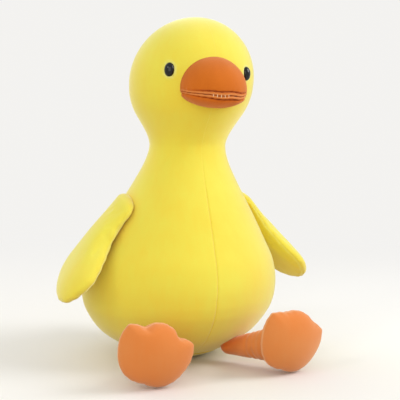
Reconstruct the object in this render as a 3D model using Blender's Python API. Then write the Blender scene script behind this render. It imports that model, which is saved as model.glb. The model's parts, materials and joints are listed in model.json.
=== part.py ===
"""A stuffed toy duck that sits on a flat seat with its legs out in front.

The yellow skin is cut as left and right panels that meet on a seam down the front and
down the back. A round panel closes the seat. The bill, wings, legs and feet are fabric
covers with their own stuffing, and the eyes are domes on stems that a washer locks
behind the skin. Lengths are in metres. The duck faces -Y and its own left side is +X.
"""

import math

import bmesh
import bpy
from mathutils import Matrix, Vector
from mathutils.bvhtree import BVHTree

# Fabric, and the room left between pieces that touch
YELLOW_SKIN = 0.0025
ORANGE_SKIN = 0.0020
GAP = 0.0003

# Body and head: the rings that give the form its height and its girth
SEAT_FLAT_RADIUS = 0.024
SEAT_EDGE_RADIUS = 0.050
SEAT_EDGE_HEIGHT = 0.008
BELLY_RADIUS = 0.101
BELLY_HEIGHT = 0.085
CROWN_HEIGHT = 0.350
HEAD_RADIUS = 0.0643
HEAD_BELOW_CROWN = 0.0645
NECK_RADIUS = 0.0385
NECK_BELOW_HEAD = 0.0655
HEAD_LEAN_LEFT = 0.012
HEAD_LEAN_FORWARD = 0.017
DEPTH_SHARE = 0.96
BELLY_FILL_SHARES = ((0.27, 0.62), (0.60, 0.92))
CHEST_FILL_SHARES = ((0.26, 0.22), (0.48, 0.47), (0.70, 0.74))
CHEEK_FILL_SHARES = ((0.42, 0.52), (0.70, 0.93))
SEAT_CURL = 1.6
PANEL_COLUMNS = 12
BODY_ROWS = 13
SEAT_CROWDING = 1.25
CHEEK_ROWS = 6
CROWN_ROWS = 6
SEAT_ROWS = 2

# Neck: the head turns on a ball of stuffing that the body's stuffing cups
NECK_PIVOT_RISE = 0.015
NECK_RIM_COVER = 0.0007
BALL_ROWS = 5

# Bill, placed from the centre of the head
FACE_TILT = math.radians(2.0)
BILL_HALF_WIDTH = 0.0345
BILL_LENGTH = 0.034
BILL_CORNER_REACH = 0.053
MOUTH_DROP = 0.0125
UPPER_BILL_HEIGHT = 0.036
LOWER_BILL_HEIGHT = 0.015
LOWER_BILL_SETBACK = 0.0015
BILL_DROOP = 0.0045
BILL_WRAP = math.radians(118.0)
BILL_COLUMNS = 12
BILL_DOME_ROWS = 5
BILL_MOUTH_ROWS = 2

# Eyes
EYE_WIDTH = 0.0102
EYE_HEIGHT = 0.0143
EYE_DOME = 0.0040
EYE_ANGLE = math.radians(39.2)
EYES_TURN = math.radians(-3.2)
EYE_RAISE = math.radians(6.8)
EYE_STEM_RADIUS = 0.0020
EYE_STEM_LENGTH = 0.0095
WASHER_RADIUS = 0.0070
WASHER_THICKNESS = 0.0012
EYE_SIDES = 16
EYE_ROWS = 3
SKIN_SAMPLES = 8

# Wings
WING_LENGTH = 0.1147
WING_ROOT_WIDTH = 0.041
WING_WIDTH = 0.076
WING_ROOT_THICKNESS = 0.013
WING_THICKNESS = 0.0215
WING_ROOT_HEIGHT = 0.1574
WING_ROOT_ANGLE = math.radians(90.3)
WINGS_TURN = math.radians(10.0)
WING_STAND_OFF = math.radians(14.5)
WING_SWEEP_BACK = math.radians(6.9)
WING_TIP_TWIST = math.radians(5.2)
WING_TURN_IN = math.radians(3.0)
WING_BOW_SHARE = 0.211
WING_WRAP_RADIUS = 0.083
WING_WIDEST_SHARE = 0.755
WING_FLARE = 4.0
WING_TIP_FULLNESS = 1.0
WING_SAMPLES = 3
WING_ROWS = 11
WING_COLUMNS = 8

# Legs and feet
LEG_SPREAD = math.radians(30.0)
HIP_RADIUS = 0.0105
ANKLE_RADIUS = 0.0145
ANKLE_PAST_BELLY = 0.0222
ANKLE_HEM_REACH = 0.004
FLOOR_GAP = 0.0004
LEG_SIDES = 16
LEG_ROWS = 5
SEAT_SAMPLES = 8
FOOT_REACH = 0.039
FOOT_OUTLINE_SHARES = (
    (0, 0.80), (18, 0.78), (36, 0.70), (48, 0.86), (60, 1.00), (76, 0.96), (104, 0.90), (142, 0.87),
    (180, 0.77),
)
SOLE_THICKNESS = 0.0130
INSTEP_THICKNESS = 0.0120
FOOT_SPREAD = math.radians(8.4)
FOOT_AHEAD = 0.0190
FOOT_ASIDE = 0.0063
FOOT_ROLL = math.radians(20.0)
FOOT_LEAN = math.radians(6.0)
FOOT_SIDES = 24
FOOT_RING_SHARES = (0.42, 0.74, 0.92, 1.0)
FOOT_STUFFING_RINGS = 3

# Tail
TAIL_HEIGHT = 0.072
TAIL_LENGTH = 0.034
TAIL_ROOT_DEPTH = 0.012
TAIL_HALF_WIDTH = 0.0190
TAIL_HALF_THICKNESS = 0.0120
TAIL_RISE = math.radians(32.0)
TAIL_FULLNESS = 2.4
TAIL_SIDES = 14
TAIL_ROWS = 6

# Cutters run on past what they cut
OVERRUN = 0.004
BISECTIONS = 40
QUARTER_TURN = math.pi / 2


def material(name, colour, roughness):
    """A plain surface of one colour."""
    made = bpy.data.materials.new(name)
    made.use_nodes = True
    shader = made.node_tree.nodes["Principled BSDF"]
    shader.inputs["Base Color"].default_value = (*colour, 1.0)
    shader.inputs["Roughness"].default_value = roughness
    shader.inputs["Metallic"].default_value = 0.0
    made.diffuse_color = (*colour, 1.0)
    return made


def add_object(name, mesh_maker, surface, pivot=None):
    """Put a finished bmesh in the scene, with its origin at the pivot it hangs on."""
    bmesh.ops.remove_doubles(mesh_maker, verts=mesh_maker.verts, dist=GAP / 100)
    bmesh.ops.recalc_face_normals(mesh_maker, faces=mesh_maker.faces)
    origin = pivot.location if pivot else Vector()
    bmesh.ops.translate(mesh_maker, verts=mesh_maker.verts, vec=-origin)
    mesh = bpy.data.meshes.new(name)
    mesh_maker.to_mesh(mesh)
    mesh_maker.free()
    mesh.shade_smooth()
    mesh.materials.append(surface)
    made = bpy.data.objects.new(name, mesh)
    bpy.context.scene.collection.objects.link(made)
    made.parent = pivot
    return made


def add_pivot(name, location):
    """An empty on a joint's axis, which the moving pieces hang on."""
    made = bpy.data.objects.new(name, None)
    made.empty_display_size = HIP_RADIUS
    made.location = location
    bpy.context.scene.collection.objects.link(made)
    return made


def add_cutter(name, mesh_maker, surface):
    """A solid that only cuts others."""
    made = add_object(name, mesh_maker, surface)
    made.hide_render = True
    made.display_type = "WIRE"
    return made


def cut(target, cutter):
    """Take the cutter's solid out of the target."""
    change = target.modifiers.new("cut by " + cutter.name, "BOOLEAN")
    change.operation = "DIFFERENCE"
    change.solver = "EXACT"
    change.object = cutter


def ring_solid(rings, loop=False):
    """A solid skinned over closed rings of points; a ring of one point is a pole."""
    maker = bmesh.new()
    made = [[maker.verts.new(point) for point in ring] for ring in rings]
    pairs = list(zip(made, made[1:]))
    if loop:
        pairs.append((made[-1], made[0]))
    for lower, upper in pairs:
        count = max(len(lower), len(upper))
        for i in range(count):
            j = (i + 1) % count
            near = [lower[i % len(lower)], lower[j % len(lower)]]
            far = [upper[j % len(upper)], upper[i % len(upper)]]
            maker.faces.new(dict.fromkeys(near + far))
    return maker


def sheet_solid(outer, inner):
    """A panel with thickness, from its outside and inside grids of points."""
    maker = bmesh.new()
    tops = [[maker.verts.new(point) for point in row] for row in outer]
    backs = [[maker.verts.new(point) for point in row] for row in inner]
    rows = len(outer)
    columns = len(outer[0])
    for grid in (tops, backs):
        for i in range(rows - 1):
            for j in range(columns - 1):
                maker.faces.new((grid[i][j], grid[i + 1][j], grid[i + 1][j + 1], grid[i][j + 1]))
    border = [(0, j) for j in range(columns)]
    border += [(i, columns - 1) for i in range(1, rows)]
    border += [(rows - 1, j) for j in range(columns - 2, -1, -1)]
    border += [(i, 0) for i in range(rows - 2, 0, -1)]
    for (i, j), (k, m) in zip(border, border[1:] + border[:1]):
        maker.faces.new((tops[i][j], tops[k][m], backs[k][m], backs[i][j]))
    return maker


def mix(start, end, share):
    """The value or point at this share of the way."""
    return start + (end - start) * share


def facet_depth(radius, facets):
    """How far the flats of a surface cut in this many facets each way over a half turn lie inside it."""
    return 2 * radius * (1 - math.cos(math.pi / (2 * facets)))


def smooth_value(points, x):
    """Height and slope at x of a smooth curve through the points that never swings past them."""
    steps = [(b[1] - a[1]) / (b[0] - a[0]) for a, b in zip(points, points[1:])]
    slopes = [steps[0]]
    for before, after in zip(steps, steps[1:]):
        same_way = before * after > 0
        slopes.append(2 * before * after / (before + after) if same_way else 0.0)
    slopes.append(steps[-1])
    k = 0
    while k < len(points) - 2 and x > points[k + 1][0]:
        k += 1
    (x0, y0), (x1, y1) = points[k], points[k + 1]
    span = x1 - x0
    t = (x - x0) / span
    rise = slopes[k] * span
    run_out = slopes[k + 1] * span
    bend = 3 * (y1 - y0) - 2 * rise - run_out
    twist = rise + run_out - 2 * (y1 - y0)
    value = y0 + rise * t + bend * t ** 2 + twist * t ** 3
    return value, (rise + 2 * bend * t + 3 * twist * t ** 2) / span


def stations_between(low, high, shares):
    """Rings between two named rings, at shares of their height and girth."""
    return [(mix(low[0], high[0], up), mix(low[1], high[1], out)) for up, out in shares]


HEAD_HEIGHT = CROWN_HEIGHT - HEAD_BELOW_CROWN
NECK_HEIGHT = HEAD_HEIGHT - NECK_BELOW_HEAD
SEAT_EDGE = (SEAT_EDGE_HEIGHT, SEAT_EDGE_RADIUS)
BELLY = (BELLY_HEIGHT, BELLY_RADIUS)
NECK = (NECK_HEIGHT, NECK_RADIUS)
HEAD = (HEAD_HEIGHT, HEAD_RADIUS)
FORM_RINGS = [
    SEAT_EDGE,
    *stations_between(SEAT_EDGE, BELLY, BELLY_FILL_SHARES),
    BELLY,
    *stations_between(BELLY, NECK, CHEST_FILL_SHARES),
    NECK,
    *stations_between(NECK, HEAD, CHEEK_FILL_SHARES),
    HEAD,
]


def place(radius, height, angle):
    """Point about the leaning centre line; angle 0 faces forward, a quarter turn is the left side."""
    lean = height / HEAD_HEIGHT
    return Vector((
        HEAD_LEAN_LEFT * lean + radius * math.sin(angle),
        -HEAD_LEAN_FORWARD * lean - radius * DEPTH_SHARE * math.cos(angle),
        height,
    ))


def seat_outline(share, inset):
    """Radius and height of the seat's curl, from its flat to its edge, moved in by inset."""
    width = SEAT_EDGE_RADIUS - SEAT_FLAT_RADIUS
    slope = SEAT_EDGE_HEIGHT / width * SEAT_CURL * share ** (SEAT_CURL - 1)
    length = math.hypot(1, slope)
    radius = SEAT_FLAT_RADIUS + width * share - inset * slope / length
    return radius, SEAT_EDGE_HEIGHT * share ** SEAT_CURL + inset / length


def side_outline(height, inset):
    """Radius and height of the form's side at this height, moved in by inset."""
    radius, slope = smooth_value(FORM_RINGS, height)
    length = math.hypot(1, slope)
    return radius - inset / length, height + inset * slope / length


def crown_outline(turn, inset):
    """Radius and height of the head above its widest ring, moved in by inset."""
    rise = HEAD_BELOW_CROWN - inset
    return (HEAD_RADIUS - inset) * math.cos(turn), HEAD_HEIGHT + rise * math.sin(turn)


NECK_PIVOT_HEIGHT = NECK_HEIGHT + NECK_PIVOT_RISE
NECK_PIVOT = place(0, NECK_PIVOT_HEIGHT, 0)
NECK_BALL = math.hypot(NECK_RADIUS, NECK_PIVOT_RISE) + NECK_RIM_COVER
NECK_CUP = NECK_BALL + GAP + facet_depth(NECK_BALL, PANEL_COLUMNS)
HEAD_CENTRE = place(0, HEAD_HEIGHT, 0)


def neck_rim(angle, inset, ball):
    """Height at which the form's side, moved in by inset, meets the neck's ball."""
    low = NECK_PIVOT_HEIGHT - ball
    high = NECK_HEIGHT
    for _ in range(BISECTIONS):
        middle = (low + high) / 2
        reach = (place(*side_outline(middle, inset), angle) - NECK_PIVOT).length
        if reach > ball:
            low = middle
        else:
            high = middle
    return high


def body_column(angle, inset):
    """Points up the body's side at one angle, from the seat's edge to the neck's rim."""
    foot = SEAT_EDGE_HEIGHT + GAP
    top = neck_rim(angle, inset, NECK_CUP)
    shares = [(i / BODY_ROWS) ** SEAT_CROWDING for i in range(BODY_ROWS + 1)]
    return [place(*side_outline(mix(foot, top, share), inset), angle) for share in shares]


def head_column(angle, inset):
    """Points up the head at one angle, from the neck's rim to the crown."""
    low = neck_rim(angle, inset, NECK_BALL)
    heights = [mix(low, HEAD_HEIGHT, i / CHEEK_ROWS) for i in range(CHEEK_ROWS)]
    turns = [QUARTER_TURN * i / CROWN_ROWS for i in range(CROWN_ROWS + 1)]
    side = [place(*side_outline(height, inset), angle) for height in heights]
    return side + [place(*crown_outline(turn, inset), angle) for turn in turns]


def panel_angles():
    """Angles of a side panel's columns, from the front seam to the back seam."""
    return [math.pi * i / PANEL_COLUMNS for i in range(PANEL_COLUMNS + 1)]


def round_angles():
    """Angles all the way round, on the same columns as the panels."""
    return [math.pi * i / PANEL_COLUMNS for i in range(2 * PANEL_COLUMNS)]


def side_panel(column, side):
    """One side panel, drawn back from the seams by half a gap; side is 1 for the left."""
    shift = Vector((side * GAP / 2, 0, 0))
    angles = panel_angles()
    grids = []
    for inset in (0, YELLOW_SKIN):
        grids.append([[point + shift for point in column(side * angle, inset)] for angle in angles])
    return sheet_solid(*grids)


def ball_rows(rim, centre, pole):
    """Rings on a ball from its rim of points down to its pole."""
    rings = []
    for i in range(1, BALL_ROWS):
        ring = []
        for point in rim:
            arm = point - centre
            turned = arm.normalized().slerp(pole, i / BALL_ROWS)
            ring.append(centre + turned * arm.length)
        rings.append(ring)
    rings.append([centre + pole * (rim[0] - centre).length])
    return rings


def seat_rings(inset):
    """Rings of the seat from its centre to its edge."""
    rings = [[place(0, inset, 0)]]
    for i in range(SEAT_ROWS + 1):
        rings.append([place(*seat_outline(i / SEAT_ROWS, inset), angle) for angle in round_angles()])
    return rings


def build_body(skin, filling):
    """Side panels, seat panel and the body's stuffing."""
    add_object("body_panel_left", side_panel(body_column, 1), skin)
    add_object("body_panel_right", side_panel(body_column, -1), skin)
    add_object("base_panel", ring_solid(seat_rings(YELLOW_SKIN) + seat_rings(0)[::-1]), skin)
    inset = YELLOW_SKIN + GAP
    columns = [body_column(angle, inset) for angle in round_angles()]
    rings = seat_rings(inset) + [list(ring) for ring in zip(*columns)]
    rings += ball_rows(rings[-1], NECK_PIVOT, Vector((0, 0, -1)))
    add_object("body_stuffing", ring_solid(rings), filling)


def form_cutter(name, column, inset, surface):
    """The whole body or head as a solid, let out so that what it cuts stays clear of it."""
    columns = [column(angle, inset) for angle in round_angles()]
    rings = [list(ring) for ring in zip(*columns)]
    floor = place(0, rings[0][0].z, 0)
    roof = place(0, rings[-1][0].z, 0)
    return add_cutter(name, ring_solid([[floor], *rings, [roof]]), surface)


def head_frame(angle, turn):
    """Where the head's surface lies at this angle and turn; local Z points out and Y up."""
    step = math.radians(0.1)
    point = place(*crown_outline(turn, 0), angle)
    across = place(*crown_outline(turn, 0), angle + step) - point
    up = place(*crown_outline(turn + step, 0), angle) - point
    out = across.cross(up).normalized()
    across.normalize()
    frame = Matrix((across, out.cross(across), out)).transposed().to_4x4()
    return Matrix.Translation(point) @ frame


def disc_ring(half_width, half_height, level, sides, frame):
    """An oval ring of points at this level of a frame."""
    ring = []
    for i in range(sides):
        turn = 2 * math.pi * i / sides
        ring.append(frame @ Vector((half_width * math.cos(turn), half_height * math.sin(turn), level)))
    return ring


def eye_rings(frame):
    """A domed oval eye with a flat back and a stem."""
    rings = [[frame @ Vector((0, 0, GAP + EYE_DOME))]]
    for i in range(1, EYE_ROWS + 1):
        turn = QUARTER_TURN * i / EYE_ROWS
        wide = math.sin(turn)
        level = GAP + EYE_DOME * math.cos(turn)
        rings.append(disc_ring(EYE_WIDTH / 2 * wide, EYE_HEIGHT / 2 * wide, level, EYE_SIDES, frame))
    for level in (GAP, -EYE_STEM_LENGTH):
        rings.append(disc_ring(EYE_STEM_RADIUS, EYE_STEM_RADIUS, level, EYE_SIDES, frame))
    rings.append([frame @ Vector((0, 0, -EYE_STEM_LENGTH))])
    return rings


def drill_rings(radius, top, bottom, frame):
    """A plain round solid along a frame's Z."""
    rings = [[frame @ Vector((0, 0, top))]]
    rings += [disc_ring(radius, radius, level, EYE_SIDES, frame) for level in (top, bottom)]
    return rings + [[frame @ Vector((0, 0, bottom))]]


def panel_flats(column, side, inset):
    """The flats of a side panel's face at this inset, split both ways across, for rays to hit."""
    columns = [column(side * angle, inset) for angle in panel_angles()]
    rows = len(columns[0])
    flats = []
    for i in range(len(columns) - 1):
        for j in range(rows - 1):
            a, b = i * rows + j, (i + 1) * rows + j
            flats += [(a, b, b + 1), (a, b + 1, a + 1), (a, b, a + 1), (b, b + 1, a + 1)]
    return BVHTree.FromPolygons([point for points in columns for point in points], flats)


def skin_depth(side, radius, frame):
    """How far down from a frame on the head the flats inside the skin reach, over a disc."""
    tree = panel_flats(head_column, side, YELLOW_SKIN)
    out = frame.to_3x3() @ Vector((0, 0, 1))
    below = []
    for i in range(1, SKIN_SAMPLES + 1):
        reach = radius * i / SKIN_SAMPLES
        below += disc_ring(reach, reach, -HEAD_RADIUS / 2, EYE_SIDES, frame)
    hits = [tree.ray_cast(point, out)[0] for point in below]
    return max(-(frame.inverted() @ hit).z for hit in hits if hit)


def build_eye(word, side, parts, surfaces, pivot):
    """Eye, its lock washer, and their room in the skin and the stuffing."""
    panel, stuffing = parts
    black, washer_plastic, guide = surfaces
    angle = side * EYE_ANGLE + EYES_TURN
    frame = head_frame(angle, EYE_RAISE - FACE_TILT * math.sin(angle))
    add_object("eye_" + word, ring_solid(eye_rings(frame)), black, pivot)
    bore = EYE_STEM_RADIUS + GAP
    top = -(skin_depth(side, WASHER_RADIUS, frame) + GAP)
    bottom = top - WASHER_THICKNESS
    rings = []
    for radius, level in ((bore, top), (WASHER_RADIUS, top), (WASHER_RADIUS, bottom), (bore, bottom)):
        rings.append(disc_ring(radius, radius, level, EYE_SIDES, frame))
    add_object("eye_washer_" + word, ring_solid(rings, loop=True), washer_plastic, pivot)
    hole = drill_rings(bore, OVERRUN, -OVERRUN - YELLOW_SKIN, frame)
    cut(panel, add_cutter("eye_hole_" + word, ring_solid(hole), guide))
    pocket = drill_rings(WASHER_RADIUS + GAP, OVERRUN, min(-EYE_STEM_LENGTH, bottom) - GAP, frame)
    cut(stuffing, add_cutter("eye_pocket_" + word, ring_solid(pocket), guide))


def bill_grid(way, inset):
    """Rows of points over half a bill, from the dome's top round the rim to the mouth's middle.

    way is 1 for the upper bill, whose dome rises, and -1 for the lower one.
    """
    full_height, setback = (UPPER_BILL_HEIGHT, 0) if way > 0 else (LOWER_BILL_HEIGHT, LOWER_BILL_SETBACK)
    half_width = BILL_HALF_WIDTH - inset - setback
    length = BILL_LENGTH - inset - setback
    base = GAP / 2 + inset
    height = full_height - base - inset
    rows = []
    for i in range(BILL_DOME_ROWS):
        turn = QUARTER_TURN * (1 - i / BILL_DOME_ROWS)
        rows.append((math.cos(turn), base + height * math.sin(turn)))
    rows += [(1 - i / BILL_MOUTH_ROWS, base) for i in range(BILL_MOUTH_ROWS + 1)]
    tilt = Matrix.Translation(HEAD_CENTRE) @ Matrix.Rotation(FACE_TILT, 4, "Y")
    grid = []
    for spread, level in rows:
        row = []
        for j in range(BILL_COLUMNS + 1):
            turn = mix(-BILL_WRAP, BILL_WRAP, j / BILL_COLUMNS)
            ahead = length * spread * math.cos(turn)
            droop = BILL_DROOP * ahead / BILL_LENGTH
            aside = half_width * spread * math.sin(turn)
            row.append(tilt @ Vector((aside, -BILL_CORNER_REACH - ahead, way * level - MOUTH_DROP - droop)))
        grid.append(row)
    return grid


def build_bill(surfaces, cutter, pivot):
    """Upper and lower bill: covers that are open against the face, and their stuffing."""
    cover_fabric, filling = surfaces
    for word, way in (("upper", 1), ("lower", -1)):
        cover = sheet_solid(bill_grid(way, 0), bill_grid(way, ORANGE_SKIN))
        cut(add_object(word + "_bill_cover", cover, cover_fabric, pivot), cutter)
        rows = bill_grid(way, ORANGE_SKIN + GAP)
        rows[0] = rows[0][:1]
        rows[-1] = rows[-1][:1]
        cut(add_object(word + "_bill_stuffing", ring_solid(rows), filling, pivot), cutter)


def build_head(surfaces):
    """Head panels and stuffing on the neck's ball, with the eyes and the bill."""
    skin, orange, filling, black, washer_plastic, guide = surfaces
    pivot = add_pivot("neck_pivot", NECK_PIVOT)
    inset = YELLOW_SKIN + GAP
    columns = [head_column(angle, inset) for angle in round_angles()]
    rings = [list(ring) for ring in zip(*columns)]
    rings[-1] = rings[-1][:1]
    ball = ball_rows(rings[0], NECK_PIVOT, Vector((0, 0, -1)))
    stuffing = add_object("head_stuffing", ring_solid(ball[::-1] + rings), filling, pivot)
    for word, side in (("left", 1), ("right", -1)):
        panel = add_object("head_panel_" + word, side_panel(head_column, side), skin, pivot)
        build_eye(word, side, (panel, stuffing), (black, washer_plastic, guide), pivot)
    build_bill((orange, filling), form_cutter("head_form", head_column, -GAP, guide), pivot)


def wing_half_width(share):
    """Half the wing's width at this share of its length: it flares and then rounds off."""
    if share < WING_WIDEST_SHARE:
        grown = math.sin(QUARTER_TURN * share / WING_WIDEST_SHARE) ** WING_FLARE
        return mix(WING_ROOT_WIDTH, WING_WIDTH, grown) / 2
    past = (share - WING_WIDEST_SHARE) / (1 - WING_WIDEST_SHARE)
    return WING_WIDTH / 2 * math.sqrt(max(0, 1 - past ** WING_TIP_FULLNESS))


def wing_fill(share, across):
    """Height of the stuffing above the wing's mid plane."""
    root = WING_ROOT_THICKNESS / 2 - ORANGE_SKIN
    full = WING_THICKNESS / 2 - ORANGE_SKIN
    crown = mix(root, full, math.sin(QUARTER_TURN * min(1, share / WING_WIDEST_SHARE)))
    past = max(0, (share - WING_WIDEST_SHARE) / (1 - WING_WIDEST_SHARE))
    return crown * math.sqrt(max(0, 1 - past ** 2)) * math.sqrt(max(0, 1 - across ** 2))


def wing_grid(frame, level):
    """Points over one face of the wing; level gives their height over the mid plane."""
    grid = []
    for i in range(WING_ROWS + 1):
        share = math.sin(QUARTER_TURN * i / WING_ROWS)
        row = []
        for j in range(WING_COLUMNS + 1):
            across = -math.cos(math.pi * j / WING_COLUMNS)
            chord = wing_half_width(share) * across
            rise = level(share, across) - chord ** 2 / (2 * WING_WRAP_RADIUS) * (1 - share)
            turn = WING_TIP_TWIST * share
            along = WING_LENGTH * share
            forward = chord * math.cos(turn) - rise * math.sin(turn) + along * WING_BOW_SHARE * share
            row.append(frame @ Vector((along, forward, chord * math.sin(turn) + rise * math.cos(turn))))
        grid.append(row)
    return grid


def wing_lift(side, frame):
    """How far a wing moves out of its frame to clear the body's flats, hanging or turned in."""
    tree = panel_flats(body_column, side, 0)
    out = frame.to_3x3() @ Vector((0, 0, 1))
    lip = GAP / 2 + ORANGE_SKIN
    rows = wing_grid(frame, lambda share, across: -lip - wing_fill(share, across))
    hinge = Matrix.Translation(frame.to_translation())
    inward = Matrix.Rotation(-side * WING_TURN_IN, 4, frame.to_3x3() @ Vector((0, 1, 0)))
    turned_in = hinge @ inward @ hinge.inverted()
    shares = [i / WING_SAMPLES for i in range(WING_SAMPLES + 1)]
    lift = -WING_WIDTH
    for one, other in zip(rows, rows[1:]):
        for k in range(WING_COLUMNS):
            for over in shares:
                start = mix(one[k], other[k], over)
                end = mix(one[k + 1], other[k + 1], over)
                for along in shares:
                    hanging = mix(start, end, along)
                    for point in (hanging, turned_in @ hanging):
                        hit = tree.ray_cast(point + out * WING_WIDTH, -out)[0]
                        if hit:
                            lift = max(lift, (hit - point).dot(out) + GAP)
    return lift


def wing_frame(side):
    """Hinge line of a wing: X runs down the wing, Y forward and Z out of its outer face."""
    radius = smooth_value(FORM_RINGS, WING_ROOT_HEIGHT)[0]
    angle = side * WING_ROOT_ANGLE + WINGS_TURN
    out = Vector((math.sin(angle), -math.cos(angle), 0))
    up = Vector((0, 0, 1))
    hang = math.atan((BELLY_RADIUS - radius) / (WING_ROOT_HEIGHT - BELLY_HEIGHT)) + WING_STAND_OFF
    hanging = out * math.sin(hang) - up * math.cos(hang)
    ahead = Vector((-math.cos(angle), -math.sin(angle), 0)) * side
    outer = out * math.cos(hang) + up * math.sin(hang)
    down_wing = hanging * math.cos(WING_SWEEP_BACK) - ahead * math.sin(WING_SWEEP_BACK)
    forward = ahead * math.cos(WING_SWEEP_BACK) + hanging * math.sin(WING_SWEEP_BACK)
    seat = Matrix.Translation(place(radius, WING_ROOT_HEIGHT, angle))
    frame = seat @ Matrix((down_wing, forward, outer)).transposed().to_4x4()
    return frame @ Matrix.Translation((0, 0, wing_lift(side, frame)))


def build_wing(word, side, skin, filling):
    """Outer and inner wing panels round a thin stuffing, hung on the shoulder's hinge line."""
    frame = wing_frame(side)
    pivot = add_pivot("wing_pivot_" + word, frame.to_translation())
    half_gap = GAP / 2
    lip = half_gap + ORANGE_SKIN
    for face, way in (("outer", 1), ("inner", -1)):
        outside = wing_grid(frame, lambda share, across: way * (lip + wing_fill(share, across)))
        inside = wing_grid(frame, lambda share, across: way * (half_gap + wing_fill(share, across)))
        add_object("wing_" + word + "_" + face + "_panel", sheet_solid(outside, inside), skin, pivot)
    faces = (
        wing_grid(frame, lambda share, across: wing_fill(share, across) - half_gap),
        wing_grid(frame, lambda share, across: half_gap - wing_fill(share, across)),
    )
    upper, lower = ([row[1:-1] for row in face[:-1]] for face in faces)
    add_object("wing_" + word + "_stuffing", sheet_solid(upper, lower), filling, pivot)


def hip_distance(side, ahead):
    """How far out along the leg the hip's ball just clears the flats of the seat and the belly."""
    step = math.pi / PANEL_COLUMNS
    first = math.floor(LEG_SPREAD / step)
    columns = []
    for i in range(first - 1, first + 3):
        angle = side * i * step
        curl = [place(*seat_outline(k / SEAT_ROWS, 0), angle) for k in range(SEAT_ROWS + 1)]
        columns.append(curl + body_column(angle, 0))
    room = HIP_RADIUS + GAP
    shares = [i / SEAT_SAMPLES for i in range(SEAT_SAMPLES + 1)]
    reach = 0
    for one, other in zip(columns, columns[1:]):
        for k in range(len(one) - 1):
            for up in shares:
                start = mix(one[k], one[k + 1], up)
                end = mix(other[k], other[k + 1], up)
                for over in shares:
                    point = mix(start, end, over) - Vector((0, 0, HIP_RADIUS + FLOOR_GAP))
                    beside = room ** 2 - (point.length_squared - point.dot(ahead) ** 2)
                    if beside > 0:
                        reach = max(reach, point.dot(ahead) + math.sqrt(beside))
    return reach


def leg_places(side):
    """Hip, ankle and the level direction of a leg."""
    ahead = Vector((side * math.sin(LEG_SPREAD), -math.cos(LEG_SPREAD), 0))
    hip = ahead * hip_distance(side, ahead) + Vector((0, 0, HIP_RADIUS + FLOOR_GAP))
    ankle = ahead * (BELLY_RADIUS + ANKLE_PAST_BELLY) + Vector((0, 0, ANKLE_RADIUS + FLOOR_GAP))
    return hip, ankle, ahead


ANKLE_BALL = math.hypot(ANKLE_RADIUS, ANKLE_HEM_REACH)


def leg_profile(length, inset):
    """Radius and distance along the leg, from the hip's nose to the hem on the ankle's ball."""
    hip = HIP_RADIUS - inset
    ankle = ANKLE_RADIUS - inset
    points = []
    for i in range(BALL_ROWS):
        turn = QUARTER_TURN * (1 - i / BALL_ROWS)
        points.append((hip * math.cos(turn), -hip * math.sin(turn)))
    end = length + math.sqrt(ANKLE_BALL ** 2 - ankle ** 2)
    return points + [(mix(hip, ankle, i / LEG_ROWS), mix(0, end, i / LEG_ROWS)) for i in range(LEG_ROWS + 1)]


def leg_rings(profile, hip, ankle):
    """Rings of a leg about the line from its hip to its ankle; a radius of zero is a pole."""
    along = (ankle - hip).normalized()
    side = along.cross(Vector((0, 0, 1))).normalized()
    up = side.cross(along)
    rings = []
    for radius, distance in profile:
        centre = hip + along * distance
        if radius < GAP / 10:
            rings.append([centre])
            continue
        turns = [2 * math.pi * i / LEG_SIDES for i in range(LEG_SIDES)]
        rings.append([centre + (side * math.cos(turn) + up * math.sin(turn)) * radius for turn in turns])
    return rings


def foot_outline(turn, reach):
    """Distance from the foot's middle to its edge; turn 0 is the middle toe."""
    degrees = abs(math.degrees(math.remainder(turn, 2 * math.pi)))
    return reach * smooth_value(FOOT_OUTLINE_SHARES, degrees)[0]


def foot_rings(frame, level, shares):
    """Rings over one face of the foot, from its middle out; level gives their height."""
    rings = [[frame @ Vector((0, 0, level(0)))]]
    for share in shares:
        ring = []
        for i in range(FOOT_SIDES):
            turn = 2 * math.pi * i / FOOT_SIDES
            reach = foot_outline(turn, FOOT_REACH) * share
            ring.append(frame @ Vector((reach * math.sin(turn), reach * math.cos(turn), level(share))))
        rings.append(ring)
    return rings


def foot_frame(ankle, side):
    """Middle of the foot on its edge seam: local X is level, Y is the toes and Z the sole's way."""
    up = Vector((0, 0, 1))
    ahead = Vector((side * math.sin(FOOT_SPREAD), -math.cos(FOOT_SPREAD), 0))
    across = up.cross(ahead)
    facing = ahead * math.cos(FOOT_LEAN) - up * math.sin(FOOT_LEAN)
    upright = up * math.cos(FOOT_LEAN) + ahead * math.sin(FOOT_LEAN)
    toes = upright * math.cos(FOOT_ROLL) + across * math.sin(FOOT_ROLL)
    level = toes.cross(facing)
    turns = [2 * math.pi * i / FOOT_SIDES for i in range(FOOT_SIDES)]
    heights = [foot_outline(t, FOOT_REACH) * (level.z * math.sin(t) + toes.z * math.cos(t)) for t in turns]
    centre = ankle + ahead * FOOT_AHEAD + across * FOOT_ASIDE * side
    centre.z = FLOOR_GAP - min(heights) - (GAP / 2 + ORANGE_SKIN) * facing.z
    return Matrix.Translation(centre) @ Matrix((level, toes, facing)).transposed().to_4x4()


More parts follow.
